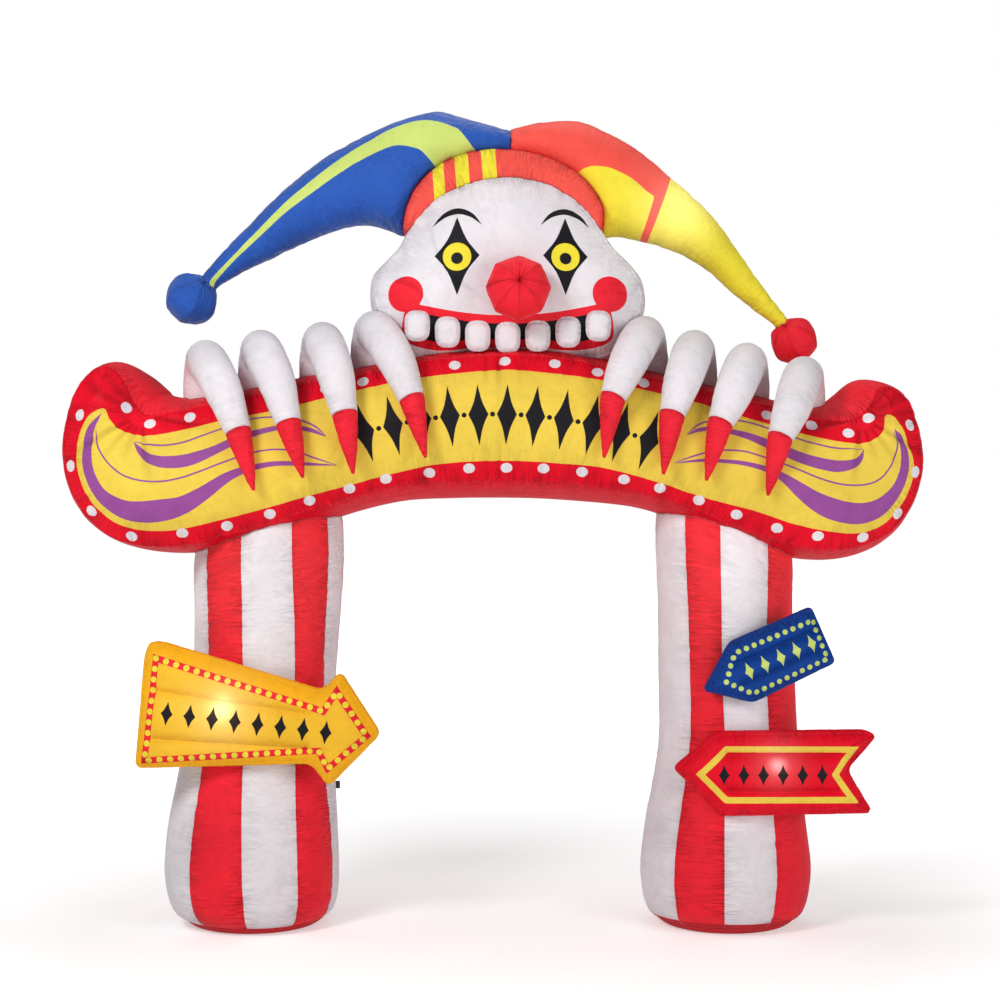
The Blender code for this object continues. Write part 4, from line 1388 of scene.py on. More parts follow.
@dataclass(kw_only=True)
class GoredBall(Cloth):
    """A stuffed ball sewn from gores."""

    name: str
    centre: Place
    radius: float
    axis: Place              # from pole to pole
    gores: int
    dye: Dye
    slot: str
    dip: float = -0.09       # below zero the seams stand out and the gores are flat

    def __post_init__(self) -> None:
        """Sew the ball; it stays clear of the scene until it is dressed."""
        turn = Vector(self.axis).to_track_quat("Z", "Y").to_euler()
        self.mesh = grown(self.name, ball_tree(), {
            "Radius": self.radius, "Gores": self.gores, "Dip": self.dip, "Centre": self.centre,
            "Turn": tuple(turn), "Cloth": FINISHES[self.dye].material()})
        points = np.empty(len(self.mesh.vertices) * 3)
        self.mesh.vertices.foreach_get("co", points)
        self.points = points.reshape(-1, 3)
        self.faces = [tuple(face.vertices) for face in self.mesh.polygons]

    def dress(self) -> None:
        """Put the ball in the scene in place of its solid."""
        self.mesh.vertices.foreach_set("co", (self.points + (0.0, ARCH_Y, 0.0)).ravel())
        self.mesh.shade_smooth()
        self.mesh.update()
        declare(put(self.name + "_cloth", self.mesh), self.name, self.slot)


# --- beam
BEAM_RIM = table("""
    25 2535 60, -280 2510 60, -570 2450 60, -845 2405 60, -1080 2350 60, -1255 2315 65,
    -1365 2295 75, -1525 2280 130, -1585 2380 100, -1640 2465 50, -1720 2485 45, -1790 2420 30,
    -1845 2310 40, -1870 2165 50, -1865 2035 50, -1820 1910 50, -1745 1805 38, -1634 1731 24,
    -1490 1702 26, -1320 1715 40, -1105 1770 60, -855 1845 60, -625 1920 60, -410 1973 65,
    -190 1990 70, 25 1992 70, 220 1988 70, 460 1966 65, 635 1940 60, 780 1900 60, 1070 1786 60,
    1200 1742 60, 1330 1703 50, 1460 1690 50, 1583 1703 50, 1695 1750 50, 1780 1830 50,
    1835 1940 50, 1860 2040 50, 1853 2165 50, 1810 2320 40, 1757 2377 40, 1696 2412 50,
    1648 2351 100, 1592 2264 130, 1426 2255 75, 1331 2277 65, 1139 2325 60, 887 2381 60,
    648 2442 60, 474 2486 60, 265 2525 60""")
BANNER = table("""
    -1682 2297, -1652 2245, -1602 2201, -1505 2179, -1382 2195, -1173 2245, -974 2282, -825 2317,
    -592 2376, -307 2431, 26 2463, 223 2451, 458 2421, 609 2387, 871 2325, 1049 2269, 1294 2199,
    1460 2158, 1582 2146, 1649 2171, 1679 2207, 1693 2273, 1750 2234, 1793 2139, 1819 2043,
    1798 1946, 1741 1850, 1658 1781, 1561 1757, 1433 1768, 1294 1798, 1118 1856, 912 1911,
    705 1980, 497 2035, 361 2053, 86 2070, -207 2060, -433 2017, -619 1968, -804 1918, -1050 1849,
    -1299 1787, -1425 1768, -1550 1775, -1650 1812, -1734 1886, -1783 1973, -1805 2073, -1793 2171,
    -1753 2257""")
BORDER_DOTS = table("""
    -1791 2269, -1590 2305, -1489 2231, -1317 2262, -1110 2307, -915 2347, -728 2384, -568 2415,
    -370 2455, -170 2486, -1835 2050, -1743 1855, -1571 1742, -1349 1759, -1157 1790, -971 1840,
    -799 1899, -625 1946, -467 1987, -280 2019, -108 2039, 47 2506, 264 2495, 449 2457, 651 2417,
    828 2372, 1005 2322, 1182 2270, 1378 2229, 1532 2191, 1621 2260, 1802 2227, 1847 2020,
    1761 1835, 1601 1733, 1401 1746, 1225 1781, 1050 1839, 887 1901, 719 1954, 563 1991, 381 2023,
    214 2038, 54 2041""")
SCROLLS = (
    table("""
        -1690 2274 1, -1737 2201 17.4, -1753 2094 22.1, -1742 2014 24.1, -1702 1936 26.8,
        -1649 1889 33.5, -1587 1859 40.2, -1517 1849 45.5, -1430 1856 46.9, -1342 1877 38.8,
        -1255 1924 30.8, -1150 1994 21.4, -1070 2029 14.7, -957 2054 10.7, -864 2057 9.4,
        -756 2053 5.4, -680 2050 1"""),
    table("""
        -1548 2149 1, -1524 2118 12, -1486 2083 18.7, -1439 2066 24.1, -1379 2063 26.8,
        -1319 2070 26.8, -1259 2089 24.1, -1192 2117 18.7, -1118 2153 17.4, -1051 2180 14.7,
        -984 2199 12, -917 2211 10.7, -850 2211 10.7, -790 2201 9.4, -754 2188 6.7, -720 2172 1"""),
    table("""
        1724 2205 1, 1750 2172 12, 1767 2124 16.1, 1773 2063 20.1, 1764 2008 22.8, 1737 1948 25.4,
        1689 1891 33.5, 1629 1854 41.5, 1564 1842 45.5, 1497 1850 45.5, 1430 1871 44.2,
        1368 1903 37.5, 1307 1947 29.5, 1254 1987 20.1, 1200 2019 14.7, 1133 2043 10.7,
        1060 2059 9.4, 979 2067 8, 886 2070 6.7, 778 2059 1"""),
    table("""
        1590 2118 1, 1571 2078 12, 1535 2054 20.1, 1475 2045 25.4, 1414 2054 25.4, 1354 2070 24.1,
        1287 2094 22.8, 1227 2121 21.4, 1167 2145 18.7, 1113 2168 16.1, 1060 2185 13.4,
        993 2199 10.7, 926 2207 9.4, 872 2199 8, 829 2179 1"""))
SCROLL_LINES = (
    table("""
        -1711 2208, -1707 2148, -1674 2081, -1607 2017, -1533 1987, -1439 1979, -1346 1994,
        -1265 2021, -1172 2057, -1091 2086, -1011 2108, -931 2117, -850 2108, -770 2081, -680 2052
        """),
    table("""
        -1545 2151, -1479 2139, -1413 2136, -1332 2150, -1252 2179, -1172 2208, -1091 2239,
        -1011 2255, -931 2257, -850 2248, -797 2231, -756 2208, -722 2176"""),
    table("""
        1723 2196, 1738 2148, 1722 2081, 1682 2014, 1629 1976, 1555 1963, 1475 1970, 1394 1994,
        1314 2027, 1247 2054, 1180 2077, 1127 2094, 1073 2109, 993 2114, 912 2104, 845 2085,
        778 2062"""),
    table("""
        1587 2121, 1475 2124, 1394 2141, 1314 2164, 1234 2191, 1140 2224, 1073 2241, 993 2248,
        919 2239, 872 2220, 829 2183"""))


NIP_FOLDS = (            # angle, length, depth and width of the folds at a nip
    (-170, 0.26, 0.011, 0.015), (-100, 0.24, 0.011, 0.015),
    (-74, 0.15, 0.008, 0.015), (-52, 0.20, 0.009, 0.015), (-30, 0.32, 0.012, 0.015),
    (-8, 0.22, 0.004, 0.015), (8, 0.26, 0.008, 0.020),
    (28, 0.27, 0.009, 0.026), (48, 0.22, 0.010, 0.018), (70, 0.20, 0.013, 0.030),
    (88, 0.18, 0.009, 0.016), (110, 0.22, 0.012, 0.016), (140, 0.24, 0.012, 0.016),
    (160, 0.17, 0.009, 0.015))


@dataclass
class Beam:
    """Banner beam with scrolled ends: printed front, plain back and a wide gusset."""

    depth: float = 0.64
    crown: float = 0.12
    reach: float = 0.30
    coarse: float = 0.092
    spacing: float = 0.012
    dot: tuple[float, float] = (0.0256, 0.0208)   # along and across the rim
    row: Sequence[float] = (0.055, 2.268, 0.25)   # the lozenges' middle x, height and sag
    lozenge_pitch: float = 0.122
    lozenge_size: tuple[float, float] = (0.043, 0.132)
    nip: float = 0.058       # the folds start this far out from a nip
    nips: Rows = ((-1.528, 2.272, -1.0), (1.590, 2.258, 1.0))   # x, z and side
    edges: tuple[float, float] = (1.992, 2.535)   # low and high edge at the middle

    def dots(self, rim: Array) -> list[Print]:
        """Marquee dots, turned along the panel's rim and kept clear of it."""
        facing, turns, shapes = outward(rim), np.arange(16) * math.tau / 16, []
        for place in np.array(BORDER_DOTS):
            gaps = np.linalg.norm(rim - place, axis=1)
            out = facing[gaps.argmin()]
            spot = place - out * max(0.0, self.dot[1] + 0.011 - gaps.min())
            shapes.append(Print(
                spot + np.outer(np.cos(turns), (-out[1], out[0])) * self.dot[0]
                + np.outer(np.sin(turns), out) * self.dot[1], Dye.WHITE))
        return shapes

    def prints(self, rim: Array) -> list[Print]:
        """Banner, scrolls, marquee dots and a row of harlequin lozenges."""
        shapes = [patch(BANNER, Dye.YELLOW)]
        shapes += [ribbon(rows, Dye.PURPLE) for rows in SCROLLS]
        shapes += [strand(rows, Dye.PURPLE) for rows in SCROLL_LINES]
        shapes += self.dots(rim)
        middle, height, sag = self.row
        for number in range(-5, 6):
            x = middle + number * self.lozenge_pitch
            shapes.append(lozenge(x, height - sag * x * x, *self.lozenge_size, Dye.BLACK,
                                  math.atan(-2 * sag * x)))
            if number < 5:
                x += self.lozenge_pitch / 2
                shapes.append(disc(x, height - sag * x * x, 0.011, Dye.BLACK, 10))
        return shapes

    def creases(self) -> list[Crease]:
        """Folds that run out from the two nips of the scrolls."""
        folds = []
        for x, z, side in self.nips:
            for turn, length, depth, width in NIP_FOLDS:
                angle = math.radians(turn) if side > 0 else math.pi - math.radians(turn)
                way = np.array([math.cos(angle), math.sin(angle)])
                near, far = (x, z) + way * self.nip, (x, z) + way * (length + self.nip)
                folds.append(Crease(*near, *far, depth, width))
        for x, length, depth in ((-0.03, 0.15, 0.007), (0.02, 0.22, 0.008), (0.09, 0.13, 0.006)):
            for edge, way in zip(self.edges, (1, -1)):
                folds.append(Crease(x, edge, x * 1.3, edge + way * length, depth, 0.012))
        return folds

    def pad(self) -> AirPad:
        """Measures of the beam's cloth."""
        # The gusset's lighter red is painted light; where it faces down it is crimson like the
        # face, as painted shade.
        pad = AirPad.from_rows(
            BEAM_RIM, self.coarse, self.spacing, depth=self.depth, crown=self.crown,
            reach=self.reach, middle=0.0, face=Dye.CRIMSON, side=Dye.RED, low_side=Dye.CRIMSON,
            back=Dye.CRIMSON, creases=self.creases(), seed=11, slack=0.0022)
        pad.prints = self.prints(pad.rim)
        return pad


# --- head
HEAD_RIM = table("""
    60 3325 30, -100 3300 30, -235 3240 30, -335 3145 30, -385 3060 30, -430 2985 30, -495 2930 37,
    -522 2850 38, -510 2760 37, -485 2670 40, -430 2575 50, -330 2535 60, 60 2565 60, 420 2535 60,
    540 2575 50, 600 2660 40, 640 2750 35, 645 2830 35, 615 2915 35, 555 2975 30, 490 3050 30,
    440 3140 30, 340 3235 30, 215 3300 30""")


@dataclass
class Head:
    """Stuffed head with a plain painted jester's face, its row of teeth and its nose."""

    middle: float = 0.075
    mouth: float = 0.060
    depth: float = 0.44
    crown: float = 0.15
    reach: float = 0.34
    eye_gap: float = 0.235   # from the middle to an eye
    eye_height: float = 2.955
    eye: float = 0.062
    pupil: float = 0.026
    eye_lozenge: tuple[float, float] = (0.098, 0.172)
    cheek: Sequence[float] = (0.445, 2.800, 0.078)   # distance from the middle, height and radius
    brow: Rows = table("-105 3098 1, -60 3142 10, 0 3162 14, 60 3142 10, 105 3098 1")
    tooth_size: tuple[float, float] = (0.108, 0.128)
    tooth_pitch: float = 0.131
    tooth_arc: float = 0.30

    def smile(self, spread: float, dye: Dye) -> Print:
        """Wide plain smile, grown on all sides by a margin."""
        over = [(self.mouth + x, 2.672 + 0.30 * x * x + spread)
                for x in np.linspace(-0.40 - spread, 0.40 + spread, 17)]
        under = [(self.mouth + x, z - spread) for x, z in (
            (0.43 + spread, 2.668), (0.385 + spread, 2.618), (0.30, 2.596), (0.15, 2.606),
            (0.0, 2.610), (-0.15, 2.606), (-0.30, 2.596), (-0.385 - spread, 2.618),
            (-0.43 - spread, 2.668))]
        return patch(over + under, dye, 0.010)

    def prints(self) -> list[Print]:
        """Lozenges behind round eyes, brows, cheeks and smile."""
        shapes = []
        for side in (-1, 1):
            x = self.middle + side * self.eye_gap
            out, height, radius = self.cheek
            shapes += [
                disc(self.mouth + side * out, height, radius, Dye.RED, 28),
                lozenge(x, self.eye_height + 0.005, *self.eye_lozenge, Dye.BLACK),
                ribbon([(x + off, z, half) for off, z, half in self.brow], Dye.BLACK),
                disc(x, self.eye_height, self.eye + 0.010, Dye.BLACK, 30),
                disc(x, self.eye_height, self.eye, Dye.LEMON, 28),
                disc(x, self.eye_height - 0.007, self.pupil, Dye.BLACK, 18)]
        return shapes + [self.smile(0.034, Dye.RED), self.smile(0.0, Dye.BLACK)]

    def pad(self) -> AirPad:
        """Measures of the head's cloth."""
        return AirPad.from_rows(
            HEAD_RIM, 0.085, 0.0095, depth=self.depth, crown=self.crown, reach=self.reach,
            middle=0.0, face=Dye.WHITE, side=Dye.WHITE, back=Dye.WHITE, prints=self.prints(),
            seed=23, folds=0.8)

    def teeth(self, pad: AirPad) -> dict[str, Skin]:
        """Row of plain stuffed teeth, each with its upper half sewn to the face."""
        row = {}
        half_w, half_l = self.tooth_size[0] / 2, self.tooth_size[1] / 2
        for number in range(7):
            along = (number - 3) * self.tooth_pitch
            x, z = self.mouth + along, 2.612 + self.tooth_arc * along * along
            line = rounded([
                (x - half_w, z + half_l), (x - half_w * 0.92, z - half_l),
                (x + half_w * 0.92, z - half_l), (x + half_w, z + half_l)], 0.05, 0.0055)
            face = pad.face_at(x, z + half_l / 2)
            row[f"tooth_{number + 1}"] = AirPad(
                rim=line, bulge=outward(line) * 0.004, depth=0.012, crown=0.026, reach=0.05,
                middle=face - 0.008, spacing=0.0055, face=Dye.WHITE, side=Dye.WHITE,
                back=Dye.WHITE, seed=40 + number, folds=0.20, fold_size=0.4, fold_reach=0.03,
                slack=0.0004, shrink=6.0).skin()
        return row


# --- cap
BAND_RIM = table("""
    473 3110 10, 478 3190 18, 435 3280 20, 365 3352 20, 280 3403 20, 170 3440 20, 60 3455 20,
    -40 3452 20, -145 3430 20, -240 3385 20, -318 3318 20, -370 3235 18, -397 3140 10, -385 3075 5,
    -325 3130 0, -220 3232 0, -90 3290 0, 60 3312 0, 210 3290 0, 330 3225 0, 425 3130 0, 462 3075 5
    """)
LEFT_HORN = table("""
    74.8 3574 74.8 3430 165 0, -100 3622 -110 3405 195 0, -245 3662 -215 3355 205 0,
    -345 3647 -290 3280 210 0, -470 3607 -340 3190 205 0, -595 3551 -400 3110 190 0,
    -700 3495 -530 3150 170 0, -790 3440 -657 3150 150 0, -965 3298 -840 3085 122 0,
    -1114 3148 -990 3015 92 0, -1228 3030 -1128 2949 66 0, -1314 2935 -1255 2875 46 0,
    -1345 2895 -1290 2845 44 0""")
RIGHT_HORN = table("""
    75.2 3580 75.2 3430 165 0, 204 3610 185 3410 195 0, 344 3619 290 3355 205 0,
    440 3600 370 3285 210 0, 566 3540 425 3190 205 0, 640 3497 475 3105 195 0,
    715 3440 560 3105 180 0, 800 3365 645 3090 165 0, 897 3284 745 3065 145 5,
    1010 3171 865 3020 120 20, 1105 3049 985 2950 92 45, 1215 2908 1110 2845 64 85,
    1335 2765 1285 2725 40 130, 1365 2730 1315 2695 38 135""")


LIME_STRIPE = (
    table("""
        620 990, 800 800, 1300 410, 1600 330, 2200 240, 2900 150, 3600 110, 4200 100, 4700 105,
        5300 120, 5900 155, 6700 205, 7600 250, 8300 290, 9300 355, 9900 425, 12000 660"""),
    table("""
        620 1000, 2300 1000, 2420 840, 2800 650, 3100 520, 3400 440, 3900 330, 4400 275, 5000 255,
        5600 285, 6300 345, 7300 410, 8100 435, 8900 475, 9500 525, 10100 600, 12000 970"""))
LEMON_PATCH = (
    table("""
        2600 970, 2900 780, 3300 630, 3700 525, 4100 455, 4700 395, 5200 378, 5700 400, 6300 440,
        6770 450, 6830 500, 6900 610, 7000 755, 7100 895, 7190 1000"""),
    table("""
        2600 1000, 7190 1000"""))


@dataclass
class Cap:
    """Jester's cap: padded band and two horns, each with a ball on its end."""

    crown_centre: tuple[float, float] = (CAP_MIDDLE, 2.95)   # the horns are pushed out from here
    band_stripes: tuple[tuple[float, float], ...] = ((-0.272, -0.222), (-0.171, -0.111),
                                                     (-0.052, 0.011))
    columns: int = 60

    def band(self) -> AirPad:
        """Measures of the band's cloth."""
        pad = AirPad.from_rows(
            BAND_RIM, 0.085, 0.010, depth=0.40, crown=0.035, reach=0.06, middle=0.0,
            face=Dye.CORAL, side=Dye.RED, back=Dye.CORAL, seed=31, folds=0.5, fold_size=0.8,
            fold_reach=0.12, slack=0.0)
        for left, right in self.band_stripes:
            low = [(x + 0.015, 3.16) for x in (left, right)]
            high = [(x - 0.010, 3.50) for x in (right, left)]
            outline = evenly(np.array(low + high + low[:1]), 0.012, closed=True)
            pad.prints.append(trimmed(Print(outline, Dye.LEMON, through=True), pad.rim))
        return pad

    def rings(self, rows: Rows) -> tuple[Array, Array]:
        """Oval rings of a horn, and the row of the table that each station stands for."""
        knots = [((row[0] + row[2]) / 2, (row[1] + row[3]) / 2, *row, number)
                 for number, row in enumerate(rows)]
        read = curve(knots, 0.012)
        turns = np.arange(self.columns) * math.tau / self.columns
        centre = np.column_stack([(read[:, 2] + read[:, 4]) / 2, read[:, 7],
                                  (read[:, 3] + read[:, 5]) / 2])
        rise = np.column_stack([(read[:, 2] - read[:, 4]) / 2, np.zeros(len(read)),
                                (read[:, 3] - read[:, 5]) / 2])
        across = np.column_stack([np.zeros(len(read)), read[:, 6], np.zeros(len(read))])
        rings = (centre[:, None] + rise[:, None] * np.cos(turns)[None, :, None]
                 + across[:, None] * np.sin(turns)[None, :, None])
        return rings, read[:, 8]

    @staticmethod
    def twice(outline: Array, girth: float, dye: Dye) -> list[Print]:
        """Print an outline on a horn's front and mirror it on its back."""
        return [Print(outline, dye), Print(outline * (1, -1) + (0, girth), dye)]

    def stripe(self, knots: Sequence[Rows], stations: Array, along: Array, girth: float,
               dye: Dye) -> list[Print]:
        """Stripe along a horn, on its front and mirrored on its back.

        Args:
            knots: for each of its two edges, row of the table and share of the way down.
            stations: row of the table at each station.
            along: length along the horn at each station.
            girth: width of the flat cut wall.
            dye: the stripe's colour.

        Returns:
            The two prints.
        """
        edges = []
        for rows in knots:
            read = curve([(row, 0.0, share) for row, share in rows], 0.10)
            turned = np.arccos(1 - 2 * np.clip(read[:, 2], 0, 1)) / math.tau * girth
            edges.append(np.column_stack([np.interp(read[:, 0], stations, along), turned]))
        outline = np.vstack([edges[0], edges[1][::-1]])
        outline = evenly(np.vstack([outline, outline[:1]]), 0.011, closed=True)
        outline[:, 0] = np.clip(outline[:, 0], along[0] + 1e-4, along[-1] - 1e-4)
        return self.twice(outline, girth, dye)

    def horn(self, side: Side, ball: BVHTree) -> PrintedTube:
        """Measures of one horn's cloth, shortened where it is sewn to its ball."""
        left = side is Side.LEFT
        rings, stations = self.rings(LEFT_HORN if left else RIGHT_HORN)
        rings = squeezed(rings, len(rings) - 14, len(rings) - 1, [ball])
        tube = PrintedTube(rings=rings, dye=Dye.BLUE if left else Dye.CORAL, seams=(0, 30),
                           seed=57 if left else 73, folds=0.8, fold_reach=0.16, slack=0.002,
                           slack_wave=(0.35, 0.5))
        along, around = tube.lengths()
        girth = float(around[:, -1].mean())
        if left:
            tube.prints = self.stripe(LIME_STRIPE, stations, along, girth, Dye.LIME)
        else:
            upper, lower = (float(np.interp(row, stations, along)) for row in (6.97, 7.5))
            tube.prints = self.stripe(LEMON_PATCH, stations, along, girth, Dye.LEMON)
            tube.prints += self.sleeve(upper, lower, float(along[-1]), girth, Dye.LEMON)
        return tube

    def sleeve(self, upper: float, lower: float, end: float, girth: float,
               dye: Dye) -> list[Print]:
        """All of a horn beyond a slanting line round it.

        Args:
            upper: where the line crosses the horn's top edge.
            lower: where it crosses the low edge.
            end: the horn's end.
            girth: width of the flat cut wall.
            dye: its colour.

        Returns:
            The print on the front and its mirror on the back.
        """
        share = np.linspace(0, 1, 22)
        slant = upper + (lower - upper) * (1 - np.cos(share * math.pi)) / 2
        near = np.column_stack([slant, share * girth / 2])
        outline = np.vstack([near, [(end, girth / 2), (end, 0.0)], near[:1]])
        return self.twice(evenly(outline, 0.011, closed=True), girth, dye)

    def outwards(self, place: Array) -> tuple[float, float, float]:
        """Direction in which a horn is pushed off the band and the head."""
        return (place[0] - self.crown_centre[0], 0.0, place[2] - self.crown_centre[1])


# --- hands
@dataclass
class Hand:
    """Four white fingers that grip the beam, each with a red claw."""

    side: Side
    rows: Rows               # number, knuckle x, top z, cuff x and z, tip x and z
    rise: float = 0.32
    knuckle: float = 0.087
    cuff: float = 0.056
    tip: float = 0.006
    columns: int = 32

    def finger_path(self, row: Sequence[float], face: Callable[[float, float], float]) -> Array:
        """Route of a finger: up out of the beam, over the knuckle, down the banner to its cuff."""
        _, knuckle_x, top_z, cuff_x, cuff_z, _, _ = row
        out, knuckle = math.copysign(0.02, knuckle_x), top_z - self.knuckle
        lean = cuff_x - knuckle_x
        knots = [
            (knuckle_x + out, -0.045, top_z - self.rise, 0.096),
            (knuckle_x + out, -0.050, knuckle - 0.110, 0.094),
            (knuckle_x + out * 0.6, -0.090, knuckle - 0.030, 0.089),
            (knuckle_x + lean * 0.05, -0.180, knuckle, self.knuckle),
            (knuckle_x + lean * 0.30, -0.310, knuckle - 0.058, 0.089),
            (knuckle_x + lean * 0.66, -0.420, knuckle - 0.172, 0.080),
            (cuff_x, face(cuff_x, cuff_z) - self.cuff - 0.002, cuff_z, self.cuff)]
        return curve(knots, 0.010, place=3)

    def skins(self, face: Callable[[float, float], float], beam: BVHTree) -> dict[str, Skin]:
        """Sew every finger and claw of the hand and seat them on the beam."""
        made = {}
        for row in self.rows:
            number = int(row[0])
            path = self.finger_path(row, face)
            held = int(np.argmax(path[:, 2] > row[2] - self.knuckle - 0.045))
            rings = squeezed(rings_along(path, self.columns), held, 0, [beam])
            finger = AirTube(rings=rings, dye=Dye.WHITE, seams=(0, self.columns // 2),
                             seed=90 + number * 5, folds=0.55, fold_size=0.6, fold_reach=0.07,
                             slack=0.0016, slack_wave=(0.30, 0.07)).skin()
            bottom = finger.end(0)
            finger.press((0, 0, 1), [beam], bottom, cling=True)
            finger.dent([beam], ~bottom)
            claw = self.claw(row, path, face, 200 + number * 3)
            claw.dent([beam])
            made[f"finger_{self.side.value}_{number}"] = finger
            made[f"claw_{self.side.value}_{number}"] = claw
        return made

    def claw(self, row: Sequence[float], path: Array, face: Callable[[float, float], float],
             seed: int) -> Skin:
        """Sew the claw on a finger's cuff."""
        along = path[-1, :3] - path[-2, :3]
        along /= np.linalg.norm(along)
        start = path[-1, :3] + along * 0.0006
        tip = np.array([row[5], min(face(row[5], row[6]) - 0.018, path[-1, 1] + 0.01), row[6]])
        share = np.linspace(0, 1, 26)[:, None]
        radius = path[-1, 3] * (1 - share) ** 0.9 * (1 + 0.25 * share) + self.tip * share
        lane = np.hstack([start + (tip - start) * share, radius])
        bend = np.array([[*(start - along * 0.01), path[-1, 3]]])
        rings = rings_along(np.vstack([bend, lane]), self.columns)[1:]
        first = rings_along(np.vstack([np.append(start, path[-1, 3]),
                                       np.append(start + along, path[-1, 3])]), self.columns)[0]
        rings[0] = first
        return AirTube(rings=rings, dye=Dye.CLAW, seams=(0, self.columns // 2),
                       sewn_ends=(True, False), seed=seed, folds=0.7, fold_size=0.6,
                       fold_reach=0.08, slack=0.002, slack_wave=(0.06, 0.12)).skin()


# --- legs
GORES = 10
LEFT_SEAMS = (           # height, and angles of the five seams that show from the front
    (0.0, -100, -38.2, 1.2, 38.0, 74), (0.38, -100, -37.4, 0.4, 37.8, 75),
    (0.74, -100, -38.6, -4.2, 35.2, 67), (1.29, -100, -46.8, -12.6, 29.1, 60),
    (1.70, -100, -51.2, -15.8, 22.8, 58), (2.0, -100, -52, -17, 22, 58))
RIGHT_SEAMS = (
    (0.0, -100, -43.2, -7.2, 28.4, 92), (0.49, -100, -42.1, -7.6, 29.8, 92),
    (1.04, -100, -38.9, -10.4, 28.3, 92), (1.49, -100, -40.1, -9.8, 31.5, 92),
    (1.73, -100, -41.0, -9.4, 33.6, 92), (2.0, -100, -41.5, -9.4, 34.5, 92))
LEFT_LEG = table("""
    35.4 -1080 318 312, 65 -1085 356 348, 140 -1090 383 370, 270 -1095 392 380, 460 -1090 380 370,
    650 -1075 358 350, 850 -1055 340 330, 1150 -1035 325 318, 1500 -1018 333 315,
    1720 -1014 341 308, 1860 -1014 341 300, 1980 -1014 334 285""")
RIGHT_LEG = table("""
    35.4 1045 314 308, 65 1045 350 342, 140 1045 375 360, 270 1046 386 370, 460 1046 364 355,
    650 1052 335 335, 850 1058 315 320, 1150 1050 309 315, 1500 1042 304 312, 1720 1037 307 308,
    1860 1037 311 300, 1980 1037 306 285""")


@dataclass
class Leg:
    """Striped leg of gores with a swollen foot and its round sole."""

    side: Side
    rows: Rows               # z, x, half width, half depth
    seams: Rows              # height, and angles of the seams that show from the front
    seed: int
    per_gore: int = 12
    dip: float = 0.007
    rim: float = 0.036       # how far up the foot the sole's cloth is turned
    step: float = 0.012
    free_below: float = 1.2  # the beam's weight folds the leg above this height only

    def angles(self, z: float) -> Array:
        """Angle of each column at a height, with the columns spread evenly in each gore."""
        read = curve(self.seams, 0.02, place=1)
        front = [np.interp(z, read[:, 0], column) for column in read.T[1:]]
        seams = [*front, *np.linspace(front[-1], 360 + front[0], GORES - 3)[1:]]
        columns = np.arange(GORES * self.per_gore) / self.per_gore
        return np.radians(np.interp(columns, range(GORES + 1), seams))

    def ring(self, z: float, x: float, half_width: float, half_depth: float, dip: float) -> Array:
        """One ring of the leg."""
        angles = self.angles(z)
        shares = np.arange(len(angles)) % self.per_gore / self.per_gore
        drawn = dip * (1 - np.sin(math.pi * shares) ** 0.8)
        return np.column_stack([x + (half_width - drawn) * np.sin(angles),
                                -(half_depth - drawn) * np.cos(angles), np.full(len(angles), z)])

    def leg(self, beam: BVHTree) -> Skin:
        """Sew the leg and fit it under the beam."""
        read = curve([(0.0, row[0], *row[1:]) for row in self.rows], self.step)
        rings = np.array([self.ring(*row[1:], self.dip) for row in read])
        held = int(np.argmax(read[:, 1] > self.free_below))
        rings = squeezed(rings, held, len(rings) - 1, [beam])
        gores = np.repeat([Dye.WHITE, Dye.RED] * (GORES // 2), self.per_gore)
        dyes = np.array([gores] * (len(rings) - 1), object)
        dyes[read[:-1, 1] < self.rim - self.step / 2] = Dye.SOLE
        made = AirTube(rings=rings, dye=dyes, seams=range(0, len(dyes[0]), self.per_gore),
                       sewn_ends=(False, True), seed=self.seed, folds=1.0, fold_size=0.7,
                       fold_reach=0.14, slack=0.0014, slack_wave=(0.25, 0.25)).skin()
        top = made.end(1)
        made.press((0, 0, -1), [beam], top, cling=True)
        made.press((0, 0, -1), [beam], (made.points[:, 2] > 1.5) & ~top)
        return made

    def sole(self) -> Skin:
        """Sew the round panel that the foot stands on."""
        _, x, half_width, half_depth = self.rows[0]
        levels = curve([(0.0, 0.0, -0.070), (0.0, 0.0012, -0.058), (0.0, 0.008, -0.037),
                        (0.0, 0.020, -0.018), (0.0, 0.035, 0.0)], 0.004, place=3)
        rings = np.array([self.ring(z, x, half_width + change, half_depth + change,
                                    self.dip * z / 0.035) for _, z, change in levels])
        made = AirTube(rings=rings, dye=Dye.SOLE, seams=(), sewn_ends=(False, False),
                       seed=self.seed + 9, folds=0.5, fold_size=0.5, fold_reach=0.03,
                       slack=0.0).skin()
        made.points[:, 2] = np.clip(made.points[:, 2], 0.0, 0.035)
        return made


